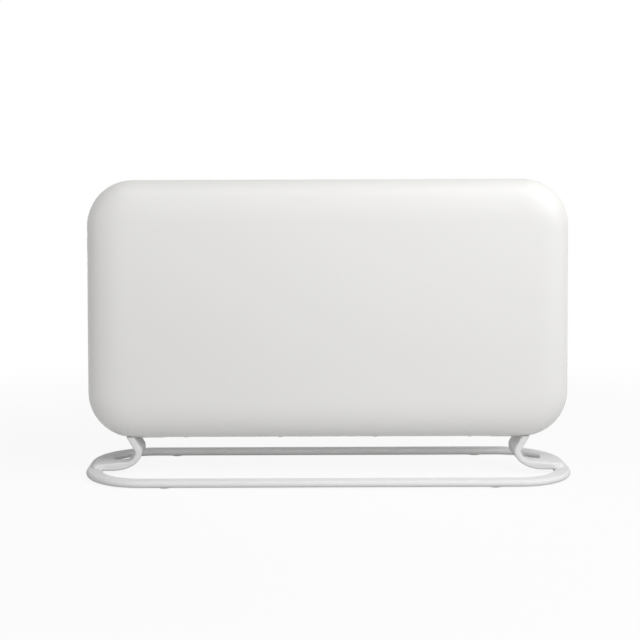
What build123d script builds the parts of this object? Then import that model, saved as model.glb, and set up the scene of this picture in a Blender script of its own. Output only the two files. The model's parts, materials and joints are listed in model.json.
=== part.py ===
from build123d import *
from math import cos, radians, sin, tan
import os

# A slim convector heater: a deep-drawn front panel with soft edges on a rear casing, standing on
# two curved legs and a floor loop of flat-oval tube.
# Millimetres. +X is the user's right, +Y points to the back, +Z is up. The origin is on the floor,
# under the middle of the stand.
os.makedirs("parts", exist_ok=True)

# ---------------------------------------------------------------- casing
casing_width = 605.0
casing_height = 325.0
casing_corner_radius = 58.0
ground_clearance = 46.5
front_face_y = -42.0
front_panel_depth = 34.0
rear_wall_y = 42.0
front_edge_radius = 30.0
rear_edge_radius = 12.0
sheet = 1.2
seam_clearance = 0.2
lip_overlap = 6.0
side_seam_margin = 15.5
side_lap = 12.0
side_lap_height = 195.0
side_lap_overhang = 1.5

# ---------------------------------------------------------------- grilles in the top and bottom
grille_left_margin = 11.0
grille_right_margin = 31.0
grille_width = 26.0
grille_mid_y = 12.0
grille_flange = 4.0
grille_flange_thickness = 1.5
grille_clearance = 0.3
slot_width = 5.0
slot_pitch = 8.0
slot_end_margin = 2.5
grille_corner_radius = 3.0
grille_flange_corner_radius = 5.0

# ---------------------------------------------------------------- air duct and heating element
duct_left_margin = 66.5
duct_right_margin = 96.5
end_plate_bottom_gap = 18.1
end_plate_top_gap = 22.1
end_plate_front_gap = 10.0
end_plate_flange = 14.0
front_shield_inset = 6.0
front_shield_corner_radius = 6.0
rear_shield_standoff = 10.0
rear_shield_bottom_inset = 29.0
rear_shield_top_inset = 23.0
shield_end_gap = 0.5
element_height = 42.0
element_y = -1.0
sheath_radius = 4.0
sheath_overhang = 14.0
fin_hub_radius = 6.5
fin_reach = 25.0
fin_thickness = 1.6
fin_tip_width = 9.0
fin_end_gap = 20.0
bush_radius = 8.0
bush_flange_radius = 11.0
bush_flange_thickness = 3.0
fit_clearance = 0.1
terminal_radius = 1.5
terminal_length = 8.0
tab_width = 6.3
tab_thickness = 0.8
tab_length = 9.0

# ---------------------------------------------------------------- control recess in the right side
recess_width = 34.0
recess_height = 100.0
recess_mid_y = 10.0
recess_rise = 49.0
recess_depth = 15.0
recess_corner_radius = 4.0
tray_wall = 1.8
tray_flange = 3.0
tray_clearance = 0.3
knob_rise = 25.0
knob_radius = 11.0
knob_length = 12.5
knob_floor_gap = 0.6
knob_skirt_depth = 4.0
knob_skirt_radius = 8.5
knob_grip_width = 4.0
knob_grip_height = 5.0
knob_grip_length = 18.0
knob_edge_rounding = 1.0
knob_hub_radius = 4.4
knob_hub_cover = 1.0
shaft_radius = 3.0
shaft_grip_length = 6.0
running_clearance = 0.05
thermostat_size = 26.0
thermostat_depth = 18.0
thermostat_corner_radius = 2.0
thermostat_bush_radius = 4.5
thermostat_bush_length = 5.0
nut_across_flats = 13.0
nut_thickness = 2.4
lens_rise = 4.0
lens_radius = 2.5
lens_flange_radius = 3.6
lens_flange_thickness = 1.0
lens_length = 9.0
upper_switch_drop = 12.0
switch_pitch = 20.0
switch_body_width = 21.0
switch_body_height = 13.4
switch_body_depth = 18.0
bezel_width = 24.0
bezel_height = 16.4
bezel_thickness = 1.6
bezel_corner_radius = 1.5
switch_wall = 1.3
switch_cavity_depth = 8.0
rocker_half_width = 8.2
rocker_edge_rise = 5.6
rocker_middle_rise = 4.2
rocker_side_clearance = 0.25
rocker_end_clearance = 0.9
rocker_pivot_depth = 1.0
rocker_pivot_radius = 1.2
rocker_pivot_length = 1.1
rocker_tilt = 8.0

# ---------------------------------------------------------------- electrical compartment
cutout_height = 97.0
cutout_radius = 8.0
cutout_depth = 7.0
cutout_ear_span = 30.0
cutout_ear_width = 8.0
cutout_ear_thickness = 1.0
fuse_height = 128.0
fuse_radius = 2.2
fuse_length = 14.0
fuse_clip_thickness = 1.0
block_side_margin = 40.5
block_rise = 18.0
block_width = 34.0
block_height = 16.0
block_depth = 14.0
block_corner_radius = 1.5
pole_count = 3
pole_pitch = 10.0
pole_radius = 3.2
gland_rise = 44.0
gland_radius = 6.0
gland_bore_radius = 3.7
gland_flange_radius = 9.0
gland_collar_length = 7.0
gland_flange_thickness = 2.5
gland_nut_thickness = 4.0
gland_nut_across_flats = 16.0
gland_lip = 1.2
earth_stud_y = 20.0
earth_stud_radius = 2.5
earth_stud_length = 8.0
earth_nut_radius = 4.5
pivot_y = 4.0
pivot_height = 62.0
pivot_radius = 2.0
tilt_plate_width = 34.0
tilt_plate_height = 26.0
tilt_plate_thickness = 2.0
tilt_plate_corner_radius = 3.0
tilt_stop_radius = 1.5
tilt_limit = 20.0
pendulum_length = 27.0
pendulum_arm_width = 8.0
pendulum_hub_radius = 5.5
pendulum_thickness = 8.0
pendulum_bob_radius = 9.0
tilt_side_gap = 0.4
clip_thickness = 1.0
clip_radius = 4.0
microswitch_width = 20.0
microswitch_height = 10.0
microswitch_depth = 7.0
lead_radius = 1.2
lead_tight_bend = 4.0
lead_wide_bend = 8.0
live_lead_inset = 4.0
live_lead_y = 6.0
switch_lead_standoff = 14.1
switch_lead_y = 14.0
switch_lead_offset = 3.0
cutout_lead_standoff = 28.8
element_lead_standoff = 40.8
neutral_lead_y = 16.0
neutral_lead_drop = 7.5

# ---------------------------------------------------------------- legs
leg_front_y = -26.0
leg_width = 46.0
leg_slope = 59.0
leg_thickness = 8.3
leg_waist_z = 29.0
leg_waist_inset = 69.9
leg_heel_inset = 33.5
leg_heel_z = 5.6
leg_foot_rise = 7.0
leg_hollow_inset = 48.5
leg_foot_end_inset = 7.5
leg_foot_end_rise = 4.2
leg_inner_bend = 10.0
leg_outer_bend = 3.0
leg_edge_rounding = 2.2
notch_front_y = -3.0
notch_inner_inset = 52.5
notch_outer_inset = 31.5
notch_radius = 6.0
foot_corner_radius = 6.0
leg_panel_gap = 0.3
flange_inner_inset = 98.5
flange_outer_inset = 60.5
flange_front_y = -5.0
flange_rear_y = 29.0
flange_thickness = 4.4
flange_corner_radius = 5.0
bracket_thickness = 2.5
leg_screw_inset = 86.5
leg_screw_spacing = 20.0
leg_screw_radius = 2.4
leg_screw_head_radius = 4.6
leg_screw_length = 12.0

# ---------------------------------------------------------------- floor loop
loop_overhang = 2.0
loop_depth = 188.0
loop_corner_radius = 75.0
tube_width = 20.0
tube_height = 8.0
tube_wall = 1.5
pad_height = 1.0
pad_radius = 7.0
pad_plug_radius = 2.4
pad_plug_length = 3.0
pad_inset = 104.5
loop_screw_radius = 2.4
loop_screw_head_radius = 4.0
loop_screw_head_height = 2.6
loop_screw_reach = 3.4
loop_screw_spacing = 20.0
loop_screw_access_radius = 4.6

# ---------------------------------------------------------------- fasteners of the casing
panel_screw_end_margin = 26.0
panel_screw_radius = 1.7
panel_screw_head_radius = 3.6
panel_screw_head_height = 1.0
panel_screw_length = 9.0
rear_screw_low_rise = 20.0
rear_screw_high_drop = 16.0
rear_screw_radius = 1.7
rear_screw_head_radius = 3.8
rear_screw_head_height = 1.8
rear_screw_length = 8.0
wall_fixing_margin = 26.0
wall_fixing_spacing_z = 160.0
wall_fixing_bore_radius = 2.5
rivet_nut_radius = 3.6
rivet_nut_flange_radius = 5.5
rivet_nut_flange_thickness = 0.8
rivet_nut_length = 8.0

# ---------------------------------------------------------------- worked-out places
casing_mid_z = ground_clearance + casing_height / 2
seam_y = front_face_y + front_panel_depth
rear_inset = sheet + seam_clearance
rear_rim_y = seam_y - lip_overlap
rear_width = casing_width - 2 * rear_inset
rear_height = casing_height - 2 * rear_inset
rear_corner_radius = casing_corner_radius - rear_inset
rear_bottom_z = casing_mid_z - rear_height / 2
rear_top_z = casing_mid_z + rear_height / 2
rear_side_x = rear_width / 2
inner_bottom_z = rear_bottom_z + sheet
inner_rear_y = rear_wall_y - sheet
inner_side_x = rear_side_x - sheet
side_seam_x = casing_width / 2 - side_seam_margin

duct_left_x = duct_left_margin - casing_width / 2
duct_right_x = casing_width / 2 - duct_right_margin
duct_length = duct_right_x - duct_left_x
right_plate_outer_x = duct_right_x + sheet
left_plate_outer_x = duct_left_x - sheet
end_plate_bottom_z = rear_bottom_z + end_plate_bottom_gap
end_plate_top_z = rear_top_z - end_plate_top_gap
end_plate_front_y = front_face_y + end_plate_front_gap
plate_centre_z = (end_plate_bottom_z + end_plate_top_z) / 2
rear_shield_y = inner_rear_y - rear_shield_standoff
rear_shield_bottom_z = end_plate_bottom_z + rear_shield_bottom_inset
rear_shield_top_z = end_plate_top_z - rear_shield_top_inset
element_z = end_plate_bottom_z + element_height

recess_mid_z = casing_mid_z + recess_rise
knob_z = recess_mid_z + knob_rise
lens_z = recess_mid_z + lens_rise
upper_switch_z = recess_mid_z - upper_switch_drop
lower_switch_z = upper_switch_z - switch_pitch
tray_floor_x = rear_side_x - recess_depth
tray_back_x = tray_floor_x - tray_wall
thermostat_back_x = tray_back_x - thermostat_depth
switch_back_x = tray_floor_x - switch_body_depth
rocker_pivot_x = tray_floor_x - rocker_pivot_depth

cutout_z = element_z + cutout_height
fuse_z = element_z + fuse_height
pivot_z = element_z + pivot_height
block_x = casing_width / 2 - block_side_margin
block_z = end_plate_bottom_z + block_rise
gland_x = block_x
gland_z = block_z + gland_rise
live_lead_x = block_x - live_lead_inset
switch_lead_x = switch_back_x - switch_lead_standoff
cutout_lead_x = right_plate_outer_x + cutout_lead_standoff
element_lead_x = right_plate_outer_x + element_lead_standoff
neutral_lead_z = end_plate_bottom_z - neutral_lead_drop

loop_side_x = casing_width / 2 + loop_overhang
tube_bottom_z = pad_height
tube_mid_z = pad_height + tube_height / 2
tube_top_z = pad_height + tube_height
loop_centre_x = loop_side_x - tube_width / 2
loop_centre_y = (loop_depth - tube_width) / 2
loop_path_radius = loop_corner_radius - tube_width / 2
pad_x = loop_side_x - pad_inset

leg_rear_y = leg_front_y + leg_width
leg_middle_y = (leg_front_y + leg_rear_y) / 2
leg_waist_inner_x = loop_side_x - leg_waist_inset
leg_heel_x = loop_side_x - leg_heel_inset
leg_hollow_x = loop_side_x - leg_hollow_inset
leg_foot_end_x = loop_side_x - leg_foot_end_inset
leg_foot_top_z = tube_top_z + leg_foot_rise
leg_foot_end_z = tube_top_z + leg_foot_end_rise
notch_inner_x = loop_side_x - notch_inner_inset
notch_outer_x = loop_side_x - notch_outer_inset
flange_inner_x = loop_side_x - flange_inner_inset
flange_outer_x = loop_side_x - flange_outer_inset
flange_bottom_z = rear_bottom_z - flange_thickness
leg_screw_x = loop_side_x - leg_screw_inset
leg_screw_y = (flange_front_y + flange_rear_y) / 2

grille_left_x = grille_left_margin - flange_inner_x
grille_right_x = flange_inner_x - grille_right_margin
grille_length = grille_right_x - grille_left_x
grille_mid_x = (grille_left_x + grille_right_x) / 2
panel_screw_outer_x = flange_inner_x - panel_screw_end_margin
panel_screw_inner_x = panel_screw_outer_x / 3
wall_fixing_x = duct_right_x - wall_fixing_margin
rear_screw_low_z = end_plate_bottom_z + rear_screw_low_rise
rear_screw_high_z = end_plate_top_z - rear_screw_high_drop


right_angle = 90.0


def facing_plane(x, y, z):
    """Plane that faces the room at a given point: its x is +X and its y is +Z."""
    return Plane(origin=(x, y, z), x_dir=(1, 0, 0), z_dir=(0, -1, 0))


def front_plane(y):
    """Plane at depth y that faces the room, centred on the casing."""
    return facing_plane(0, y, casing_mid_z)


def side_plane(x, y=0, z=0):
    """Plane at x that faces the user's right: its x is +Y and its y is +Z."""
    return Plane(origin=(x, y, z), x_dir=(0, 1, 0), z_dir=(1, 0, 0))


def up_plane(z, x=0, y=0):
    """Level plane at height z, with its own origin at x, y."""
    return Plane(origin=(x, y, z), x_dir=(1, 0, 0), z_dir=(0, 0, 1))


def save(piece, name):
    """Label a finished piece and write its STEP file."""
    piece.label = name
    export_step(piece, f"parts/{name}.step")


# ================================================================ casing
with BuildPart() as casing_form:
    with BuildSketch(front_plane(seam_y)):
        RectangleRounded(casing_width, casing_height, casing_corner_radius)
    extrude(amount=front_panel_depth)
    fillet(casing_form.faces().sort_by(Axis.Y)[0].edges(), front_edge_radius)

panel_screw_y = seam_y - lip_overlap / 2
panel_screw_places = [
    (side * x, panel_screw_y)
    for side in (-1, 1)
    for x in (panel_screw_inner_x, panel_screw_outer_x)
]

with BuildPart() as front_panel:
    add(casing_form.part)
    offset(amount=-sheet, openings=front_panel.faces().sort_by(Axis.Y)[-1])
    with BuildSketch(up_plane(ground_clearance)):
        with Locations(*panel_screw_places):
            Circle(panel_screw_radius + seam_clearance)
    extrude(amount=2 * sheet, both=True, mode=Mode.SUBTRACT)
save(front_panel.part, "front_panel")


def grille_outline(clearance):
    """Window of a grille, or the insert that fills it with a clearance."""
    RectangleRounded(
        grille_length - 2 * clearance, grille_width - 2 * clearance, grille_corner_radius
    )


wall_fixing_places = [
    (side * wall_fixing_x, level * wall_fixing_spacing_z / 2)
    for side in (-1, 1)
    for level in (-1, 1)
]
rear_screw_left_x = left_plate_outer_x - end_plate_flange / 2
rear_screw_right_x = right_plate_outer_x + end_plate_flange / 2
rear_screw_places = [
    (x, z - casing_mid_z)
    for x in (rear_screw_left_x, rear_screw_right_x)
    for z in (rear_screw_low_z, rear_screw_high_z)
]
leg_screw_places = [
    (side * leg_screw_x, leg_screw_y + end * leg_screw_spacing / 2)
    for side in (-1, 1)
    for end in (-1, 1)
]

# Shell of the back half, before the strip that carries the controls is parted from it.
with BuildPart() as rear_form:
    with BuildSketch(front_plane(rear_wall_y)):
        RectangleRounded(rear_width, rear_height, rear_corner_radius)
    extrude(amount=rear_wall_y - rear_rim_y)
    fillet(rear_form.faces().sort_by(Axis.Y)[-1].edges(), rear_edge_radius)
    offset(amount=-sheet, openings=rear_form.faces().sort_by(Axis.Y)[0])
    for level in (rear_top_z, rear_bottom_z):
        with BuildSketch(up_plane(level, grille_mid_x, grille_mid_y)):
            grille_outline(0)
        extrude(amount=2 * sheet, both=True, mode=Mode.SUBTRACT)
    with BuildSketch(side_plane(rear_side_x)):
        with Locations((recess_mid_y, recess_mid_z)):
            RectangleRounded(recess_width, recess_height, recess_corner_radius)
    extrude(amount=2 * sheet, both=True, mode=Mode.SUBTRACT)
    with BuildSketch(front_plane(rear_wall_y)):
        with Locations(*wall_fixing_places):
            Circle(rivet_nut_radius)
        with Locations(*rear_screw_places):
            Circle(rear_screw_radius + fit_clearance)
        with Locations((gland_x, gland_z - casing_mid_z)):
            Circle(gland_radius + fit_clearance)
    extrude(amount=2 * sheet, both=True, mode=Mode.SUBTRACT)
    with BuildSketch(up_plane(rear_bottom_z)):
        with Locations(*panel_screw_places):
            Circle(panel_screw_radius + running_clearance)
        with Locations(*leg_screw_places):
            Circle(leg_screw_radius + fit_clearance)
    extrude(amount=2 * sheet, both=True, mode=Mode.SUBTRACT)

with BuildPart() as rear_casing:
    add(rear_form.part)
    split(bisect_by=side_plane(side_seam_x), keep=Keep.BOTTOM)
save(rear_casing.part, "rear_casing")

# Right side of the casing with the window for the controls, lapped inside the rear wall.
with BuildPart() as control_side:
    add(rear_form.part)
    split(bisect_by=side_plane(side_seam_x), keep=Keep.TOP)
    lap_mid_x = side_seam_x + side_lap_overhang - side_lap / 2
    with BuildSketch(front_plane(inner_rear_y)):
        with Locations((lap_mid_x, 0)):
            Rectangle(side_lap, side_lap_height)
    extrude(amount=sheet)
save(control_side.part, "control_side")


def build_grille(outer_z, inward):
    """Slotted grille: an insert flush with the casing and a flange inside its wall."""
    wall_inner_z = outer_z + inward * sheet
    with BuildPart() as grille:
        with BuildSketch(up_plane(outer_z, grille_mid_x, grille_mid_y)):
            grille_outline(grille_clearance)
        extrude(amount=inward * sheet)
        with BuildSketch(up_plane(wall_inner_z, grille_mid_x, grille_mid_y)):
            RectangleRounded(
                grille_length + 2 * grille_flange,
                grille_width + 2 * grille_flange,
                grille_flange_corner_radius,
            )
        extrude(amount=inward * grille_flange_thickness)
        slot_length = grille_width - 2 * grille_clearance - 2 * slot_end_margin
        slot_count = int((grille_length - 2 * slot_end_margin) // slot_pitch)
        with BuildSketch(up_plane(outer_z, grille_mid_x, grille_mid_y)):
            with GridLocations(slot_pitch, 1, slot_count, 1):
                SlotOverall(slot_length, slot_width, rotation=90)
        extrude(amount=inward * (sheet + grille_flange_thickness), mode=Mode.SUBTRACT)
    return grille.part


save(build_grille(rear_top_z, -1), "outlet_grille")
save(build_grille(rear_bottom_z, 1), "inlet_grille")

# ================================================================ air duct
def build_end_plate(inner_x, outward):
    """Channel that closes one end of the duct, its flanges turned away from the duct."""
    web_x = inner_x + outward * sheet / 2
    flange_x = inner_x + outward * (sheet + end_plate_flange) / 2
    flange_length = sheet + end_plate_flange
    plate_depth = inner_rear_y - end_plate_front_y
    plate_height = end_plate_top_z - end_plate_bottom_z
    with BuildPart() as end_plate:
        with BuildSketch(up_plane(end_plate_bottom_z)):
            with Locations((web_x, end_plate_front_y + plate_depth / 2)):
                Rectangle(sheet, plate_depth)
            with Locations(
                (flange_x, end_plate_front_y + sheet / 2),
                (flange_x, inner_rear_y - sheet / 2),
            ):
                Rectangle(flange_length, sheet)
        extrude(amount=plate_height)
        with BuildSketch(side_plane(web_x)):
            with Locations((element_y, element_z)):
                Circle(bush_radius + fit_clearance)
        extrude(amount=sheet, both=True, mode=Mode.SUBTRACT)
        with BuildSketch(front_plane(inner_rear_y)):
            with Locations(*rear_screw_places):
                Circle(rear_screw_radius + running_clearance)
        extrude(amount=2 * sheet, mode=Mode.SUBTRACT)
    return end_plate.part


save(build_end_plate(duct_left_x, -1), "end_plate_left")
save(build_end_plate(duct_right_x, 1), "end_plate_right")

# Bright sheet between the element and the front panel, on the front flanges of the end plates.
with BuildPart() as front_heat_shield:
    shield_height = end_plate_top_z - end_plate_bottom_z - 2 * front_shield_inset
    shield_width = duct_length + 2 * (sheet + end_plate_flange)
    shield_mid_x = (duct_left_x + duct_right_x) / 2
    with BuildSketch(front_plane(end_plate_front_y)):
        with Locations((shield_mid_x, plate_centre_z - casing_mid_z)):
            RectangleRounded(shield_width, shield_height, front_shield_corner_radius)
    extrude(amount=sheet)
save(front_heat_shield.part, "front_heat_shield")

# Bright sheet ahead of the rear wall, stood off by its own top and bottom flanges.
with BuildPart() as rear_heat_shield:
    with BuildSketch(side_plane(duct_left_x + shield_end_gap)):
        with BuildLine():
            Polyline(
                (inner_rear_y, rear_shield_bottom_z),
                (rear_shield_y, rear_shield_bottom_z),
                (rear_shield_y, rear_shield_top_z),
                (inner_rear_y, rear_shield_top_z),
                (inner_rear_y, rear_shield_top_z - sheet),
                (rear_shield_y + sheet, rear_shield_top_z - sheet),
                (rear_shield_y + sheet, rear_shield_bottom_z + sheet),
                (inner_rear_y, rear_shield_bottom_z + sheet),
                close=True,
            )
        make_face()
    extrude(amount=duct_length - 2 * shield_end_gap)
save(rear_heat_shield.part, "rear_heat_shield")

# ================================================================ heating element
sheath_start_x = left_plate_outer_x - sheath_overhang
sheath_end_x = right_plate_outer_x + sheath_overhang
fin_start_x = duct_left_x + fin_end_gap
fin_end_x = duct_right_x - fin_end_gap

with BuildPart() as element_sheath:
    with BuildSketch(side_plane(sheath_start_x)):
        with Locations((element_y, element_z)):
            Circle(sheath_radius)
    extrude(amount=sheath_end_x - sheath_start_x)
save(element_sheath.part, "element_sheath")

with BuildPart() as element_fins:
    with BuildSketch(side_plane(fin_start_x)):
        with Locations((element_y, element_z)):
            Circle(fin_hub_radius)
            with PolarLocations(0, 4, start_angle=45):
                with Locations((fin_reach / 2, 0)):
                    Rectangle(fin_reach, fin_thickness)
                with Locations((fin_reach, 0)):
                    Rectangle(fin_thickness, fin_tip_width)
            Circle(sheath_radius + fit_clearance, mode=Mode.SUBTRACT)
    extrude(amount=fin_end_x - fin_start_x)
save(element_fins.part, "element_fins")


def build_bush(inner_x, outward):
    """Ceramic bush that holds the sheath in an end plate, its flange inside the duct."""
    with BuildPart() as bush:
        with BuildSketch(side_plane(inner_x)):
            with Locations((element_y, element_z)):
                Circle(bush_flange_radius)
        extrude(amount=-outward * bush_flange_thickness)
        with BuildSketch(side_plane(inner_x)):
            with Locations((element_y, element_z)):
                Circle(bush_radius)
        extrude(amount=outward * (sheet + bush_flange_thickness))
        with BuildSketch(side_plane(inner_x)):
            with Locations((element_y, element_z)):
                Circle(sheath_radius + fit_clearance)
        extrude(amount=2 * bush_flange_thickness + sheet, both=True, mode=Mode.SUBTRACT)
    return bush.part


save(build_bush(duct_left_x, -1), "element_bush_left")
save(build_bush(duct_right_x, 1), "element_bush_right")

with BuildPart() as element_terminals:
    for start_x, outward in ((sheath_start_x, -1), (sheath_end_x, 1)):
        with BuildSketch(side_plane(start_x)):
            with Locations((element_y, element_z)):
                Circle(terminal_radius)
        extrude(amount=outward * terminal_length)
        with BuildSketch(side_plane(start_x + outward * terminal_length)):
            with Locations((element_y, element_z)):
                Rectangle(tab_thickness, tab_width)
        extrude(amount=outward * tab_length)
save(element_terminals.part, "element_terminals")

# ================================================================ control recess
tray_width = recess_width - 2 * tray_clearance
tray_height = recess_height - 2 * tray_clearance
tray_corner_radius = recess_corner_radius - tray_clearance
thermostat_bore_depth = thermostat_depth / 2
switch_cavity_width = 2 * (rocker_half_width + rocker_end_clearance)
switch_cavity_height = switch_body_height - 2 * switch_wall
rocker_half_height = switch_cavity_height / 2 - rocker_side_clearance
knob_back_x = tray_floor_x + knob_floor_gap
knob_socket_x = knob_back_x + knob_skirt_depth

with BuildPart() as control_tray:
    with BuildSketch(side_plane(tray_back_x)):
        with Locations((recess_mid_y, recess_mid_z)):
            RectangleRounded(tray_width, tray_height, tray_corner_radius)
    extrude(amount=rear_side_x - tray_back_x)
    with BuildSketch(side_plane(inner_side_x)):
        with Locations((recess_mid_y, recess_mid_z)):
            RectangleRounded(
                recess_width + 2 * tray_flange,
                recess_height + 2 * tray_flange,
                recess_corner_radius + tray_flange,
            )
    extrude(amount=-tray_wall)
    with BuildSketch(side_plane(tray_floor_x)):
        with Locations((recess_mid_y, recess_mid_z)):
            RectangleRounded(
                tray_width - 2 * tray_wall,
                tray_height - 2 * tray_wall,
                tray_corner_radius - tray_wall,
            )
    extrude(amount=recess_depth, mode=Mode.SUBTRACT)
    with BuildSketch(side_plane(tray_floor_x)):
        with Locations((recess_mid_y, knob_z)):
            Circle(thermostat_bush_radius + fit_clearance)
        with Locations((recess_mid_y, lens_z)):
            Circle(lens_radius + fit_clearance)
        with Locations((recess_mid_y, upper_switch_z), (recess_mid_y, lower_switch_z)):
            Rectangle(switch_body_width + 2 * fit_clearance, switch_body_height + 2 * fit_clearance)
    extrude(amount=-tray_wall, mode=Mode.SUBTRACT)
save(control_tray.part, "control_tray")

# Bimetal thermostat behind the tray, held by its threaded bush and a nut in the recess.
with BuildPart() as thermostat:
    with BuildSketch(side_plane(thermostat_back_x)):
        with Locations((recess_mid_y, knob_z)):
            RectangleRounded(thermostat_size, thermostat_size, thermostat_corner_radius)
    extrude(amount=thermostat_depth)
    with BuildSketch(side_plane(tray_back_x)):
        with Locations((recess_mid_y, knob_z)):
            Circle(thermostat_bush_radius)
    extrude(amount=thermostat_bush_length)
    with BuildSketch(side_plane(tray_back_x - thermostat_bore_depth)):
        with Locations((recess_mid_y, knob_z)):
            Circle(shaft_radius + running_clearance)
    extrude(amount=thermostat_bore_depth + thermostat_bush_length, mode=Mode.SUBTRACT)
save(thermostat.part, "thermostat")

with BuildPart() as thermostat_nut:
    with BuildSketch(side_plane(tray_floor_x)):
        with Locations((recess_mid_y, knob_z)):
            RegularPolygon(nut_across_flats / 2, 6, major_radius=False)
            Circle(thermostat_bush_radius + running_clearance, mode=Mode.SUBTRACT)
    extrude(amount=nut_thickness)
save(thermostat_nut.part, "thermostat_nut")

shaft_start_x = tray_back_x - thermostat_bore_depth + knob_floor_gap
shaft_end_x = knob_socket_x + shaft_grip_length

with BuildPart() as thermostat_shaft:
    with BuildSketch(side_plane(shaft_start_x)):
        with Locations((recess_mid_y, knob_z)):
            Circle(shaft_radius)
    extrude(amount=shaft_end_x - shaft_start_x)
save(thermostat_shaft.part, "thermostat_shaft")

with BuildPart() as thermostat_knob:
    with BuildSketch(side_plane(knob_back_x)):
        with Locations((recess_mid_y, knob_z)):
            Circle(knob_radius)
    extrude(amount=knob_length - knob_grip_height)
    fillet(thermostat_knob.faces().sort_by(Axis.X)[-1].edges(), knob_edge_rounding)
    with BuildSketch(side_plane(knob_back_x + knob_length)):
        with Locations((recess_mid_y, knob_z)):
            SlotOverall(knob_grip_length, knob_grip_width, rotation=90)
    extrude(amount=-(knob_grip_height + knob_edge_rounding))
    fillet(thermostat_knob.faces().sort_by(Axis.X)[-1].edges(), knob_edge_rounding)
    with BuildSketch(side_plane(knob_socket_x)):
        with Locations((recess_mid_y, knob_z)):
            Circle(knob_hub_radius)
    extrude(amount=shaft_grip_length + knob_hub_cover)
    with BuildSketch(side_plane(knob_back_x)):
        with Locations((recess_mid_y, knob_z)):
            Circle(knob_skirt_radius)
    extrude(amount=knob_skirt_depth, mode=Mode.SUBTRACT)
    with BuildSketch(side_plane(knob_socket_x)):
        with Locations((recess_mid_y, knob_z)):
            Circle(shaft_radius)
    extrude(amount=shaft_grip_length, mode=Mode.SUBTRACT)
save(thermostat_knob.part, "thermostat_knob")

with BuildPart() as indicator_lens:
    with BuildSketch(side_plane(tray_floor_x)):
        with Locations((recess_mid_y, lens_z)):
            Circle(lens_flange_radius)
    extrude(amount=lens_flange_thickness)
    fillet(indicator_lens.faces().sort_by(Axis.X)[-1].edges(), lens_flange_thickness / 2)
    with BuildSketch(side_plane(tray_floor_x)):
        with Locations((recess_mid_y, lens_z)):
            Circle(lens_radius)
    extrude(amount=-lens_length)
save(indicator_lens.part, "indicator_lens")


def build_switch_housing(switch_z):
    """Snap-in rocker switch body with a bezel on the tray floor and two pivot bores."""
    with BuildPart() as housing:
        with BuildSketch(side_plane(switch_back_x)):
            with Locations((recess_mid_y, switch_z)):
                Rectangle(switch_body_width, switch_body_height)
        extrude(amount=switch_body_depth)
        with BuildSketch(side_plane(tray_floor_x)):
            with Locations((recess_mid_y, switch_z)):
                RectangleRounded(bezel_width, bezel_height, bezel_corner_radius)
        extrude(amount=bezel_thickness)
        with BuildSketch(side_plane(tray_floor_x + bezel_thickness)):
            with Locations((recess_mid_y, switch_z)):
                Rectangle(switch_cavity_width, switch_cavity_height)
        extrude(amount=-switch_cavity_depth, mode=Mode.SUBTRACT)
        with BuildSketch(up_plane(switch_z, rocker_pivot_x, recess_mid_y)):
            Circle(rocker_pivot_radius + running_clearance)
        bore_half_length = rocker_half_height + rocker_pivot_length + rocker_side_clearance
        extrude(amount=bore_half_length, both=True, mode=Mode.SUBTRACT)
    return housing.part


def build_rocker(switch_z):
    """Rocker of a switch, drawn in its off position, with a stub pivot on each side."""
    rocker_plane = Plane(
        origin=(rocker_pivot_x, recess_mid_y, switch_z), x_dir=(0, 1, 0), z_dir=(0, 0, -1)
    )
    with BuildPart() as rocker:
        with BuildSketch(rocker_plane.rotated((0, 0, rocker_tilt))):
            with BuildLine():
                Polyline(
                    (-rocker_half_width, 0),
                    (-rocker_half_width, rocker_edge_rise),
                    (0, rocker_middle_rise),
                    (rocker_half_width, rocker_edge_rise),
                    (rocker_half_width, 0),
                    (rocker_half_width / 3, -rocker_middle_rise),
                    (-rocker_half_width / 3, -rocker_middle_rise),
                    close=True,
                )
            make_face()
        extrude(amount=rocker_half_height, both=True)
        with BuildSketch(rocker_plane):
            Circle(rocker_pivot_radius)
        extrude(amount=rocker_half_height + rocker_pivot_length, both=True)
    return rocker.part


save(build_switch_housing(upper_switch_z), "heat_switch_housing")
save(build_switch_housing(lower_switch_z), "power_switch_housing")
save(build_rocker(upper_switch_z), "heat_switch_rocker")
save(build_rocker(lower_switch_z), "power_switch_rocker")

# ================================================================ safety devices on the right end plate
cutout_y = element_y + cutout_ear_width / 2
cutout_face_x = right_plate_outer_x + cutout_ear_thickness + cutout_depth

with BuildPart() as thermal_cutout:
    with BuildSketch(side_plane(right_plate_outer_x)):
        with Locations((cutout_y, cutout_z)):
            SlotOverall(cutout_ear_span, cutout_ear_width)
            Circle(cutout_radius)
    extrude(amount=cutout_ear_thickness)
    with BuildSketch(side_plane(right_plate_outer_x)):
        with Locations((cutout_y, cutout_z)):
            Circle(cutout_radius)
    extrude(amount=cutout_ear_thickness + cutout_depth)
    with BuildSketch(side_plane(cutout_face_x)):
        with Locations((element_y, cutout_z), (element_y + cutout_ear_width, cutout_z)):
            Rectangle(tab_thickness, tab_width)
    extrude(amount=tab_length)
save(thermal_cutout.part, "thermal_cutout")

fuse_x = right_plate_outer_x + fuse_clip_thickness + fuse_radius + fit_clearance
fuse_clip_gap = 2 * (fuse_radius + fit_clearance)

with BuildPart() as thermal_fuse:
    with BuildSketch(facing_plane(fuse_x, element_y, fuse_z)):
        Circle(fuse_radius)
    extrude(amount=fuse_length / 2, both=True)
    chamfer(thermal_fuse.edges(), fuse_radius / 4)
save(thermal_fuse.part, "thermal_fuse")

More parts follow.
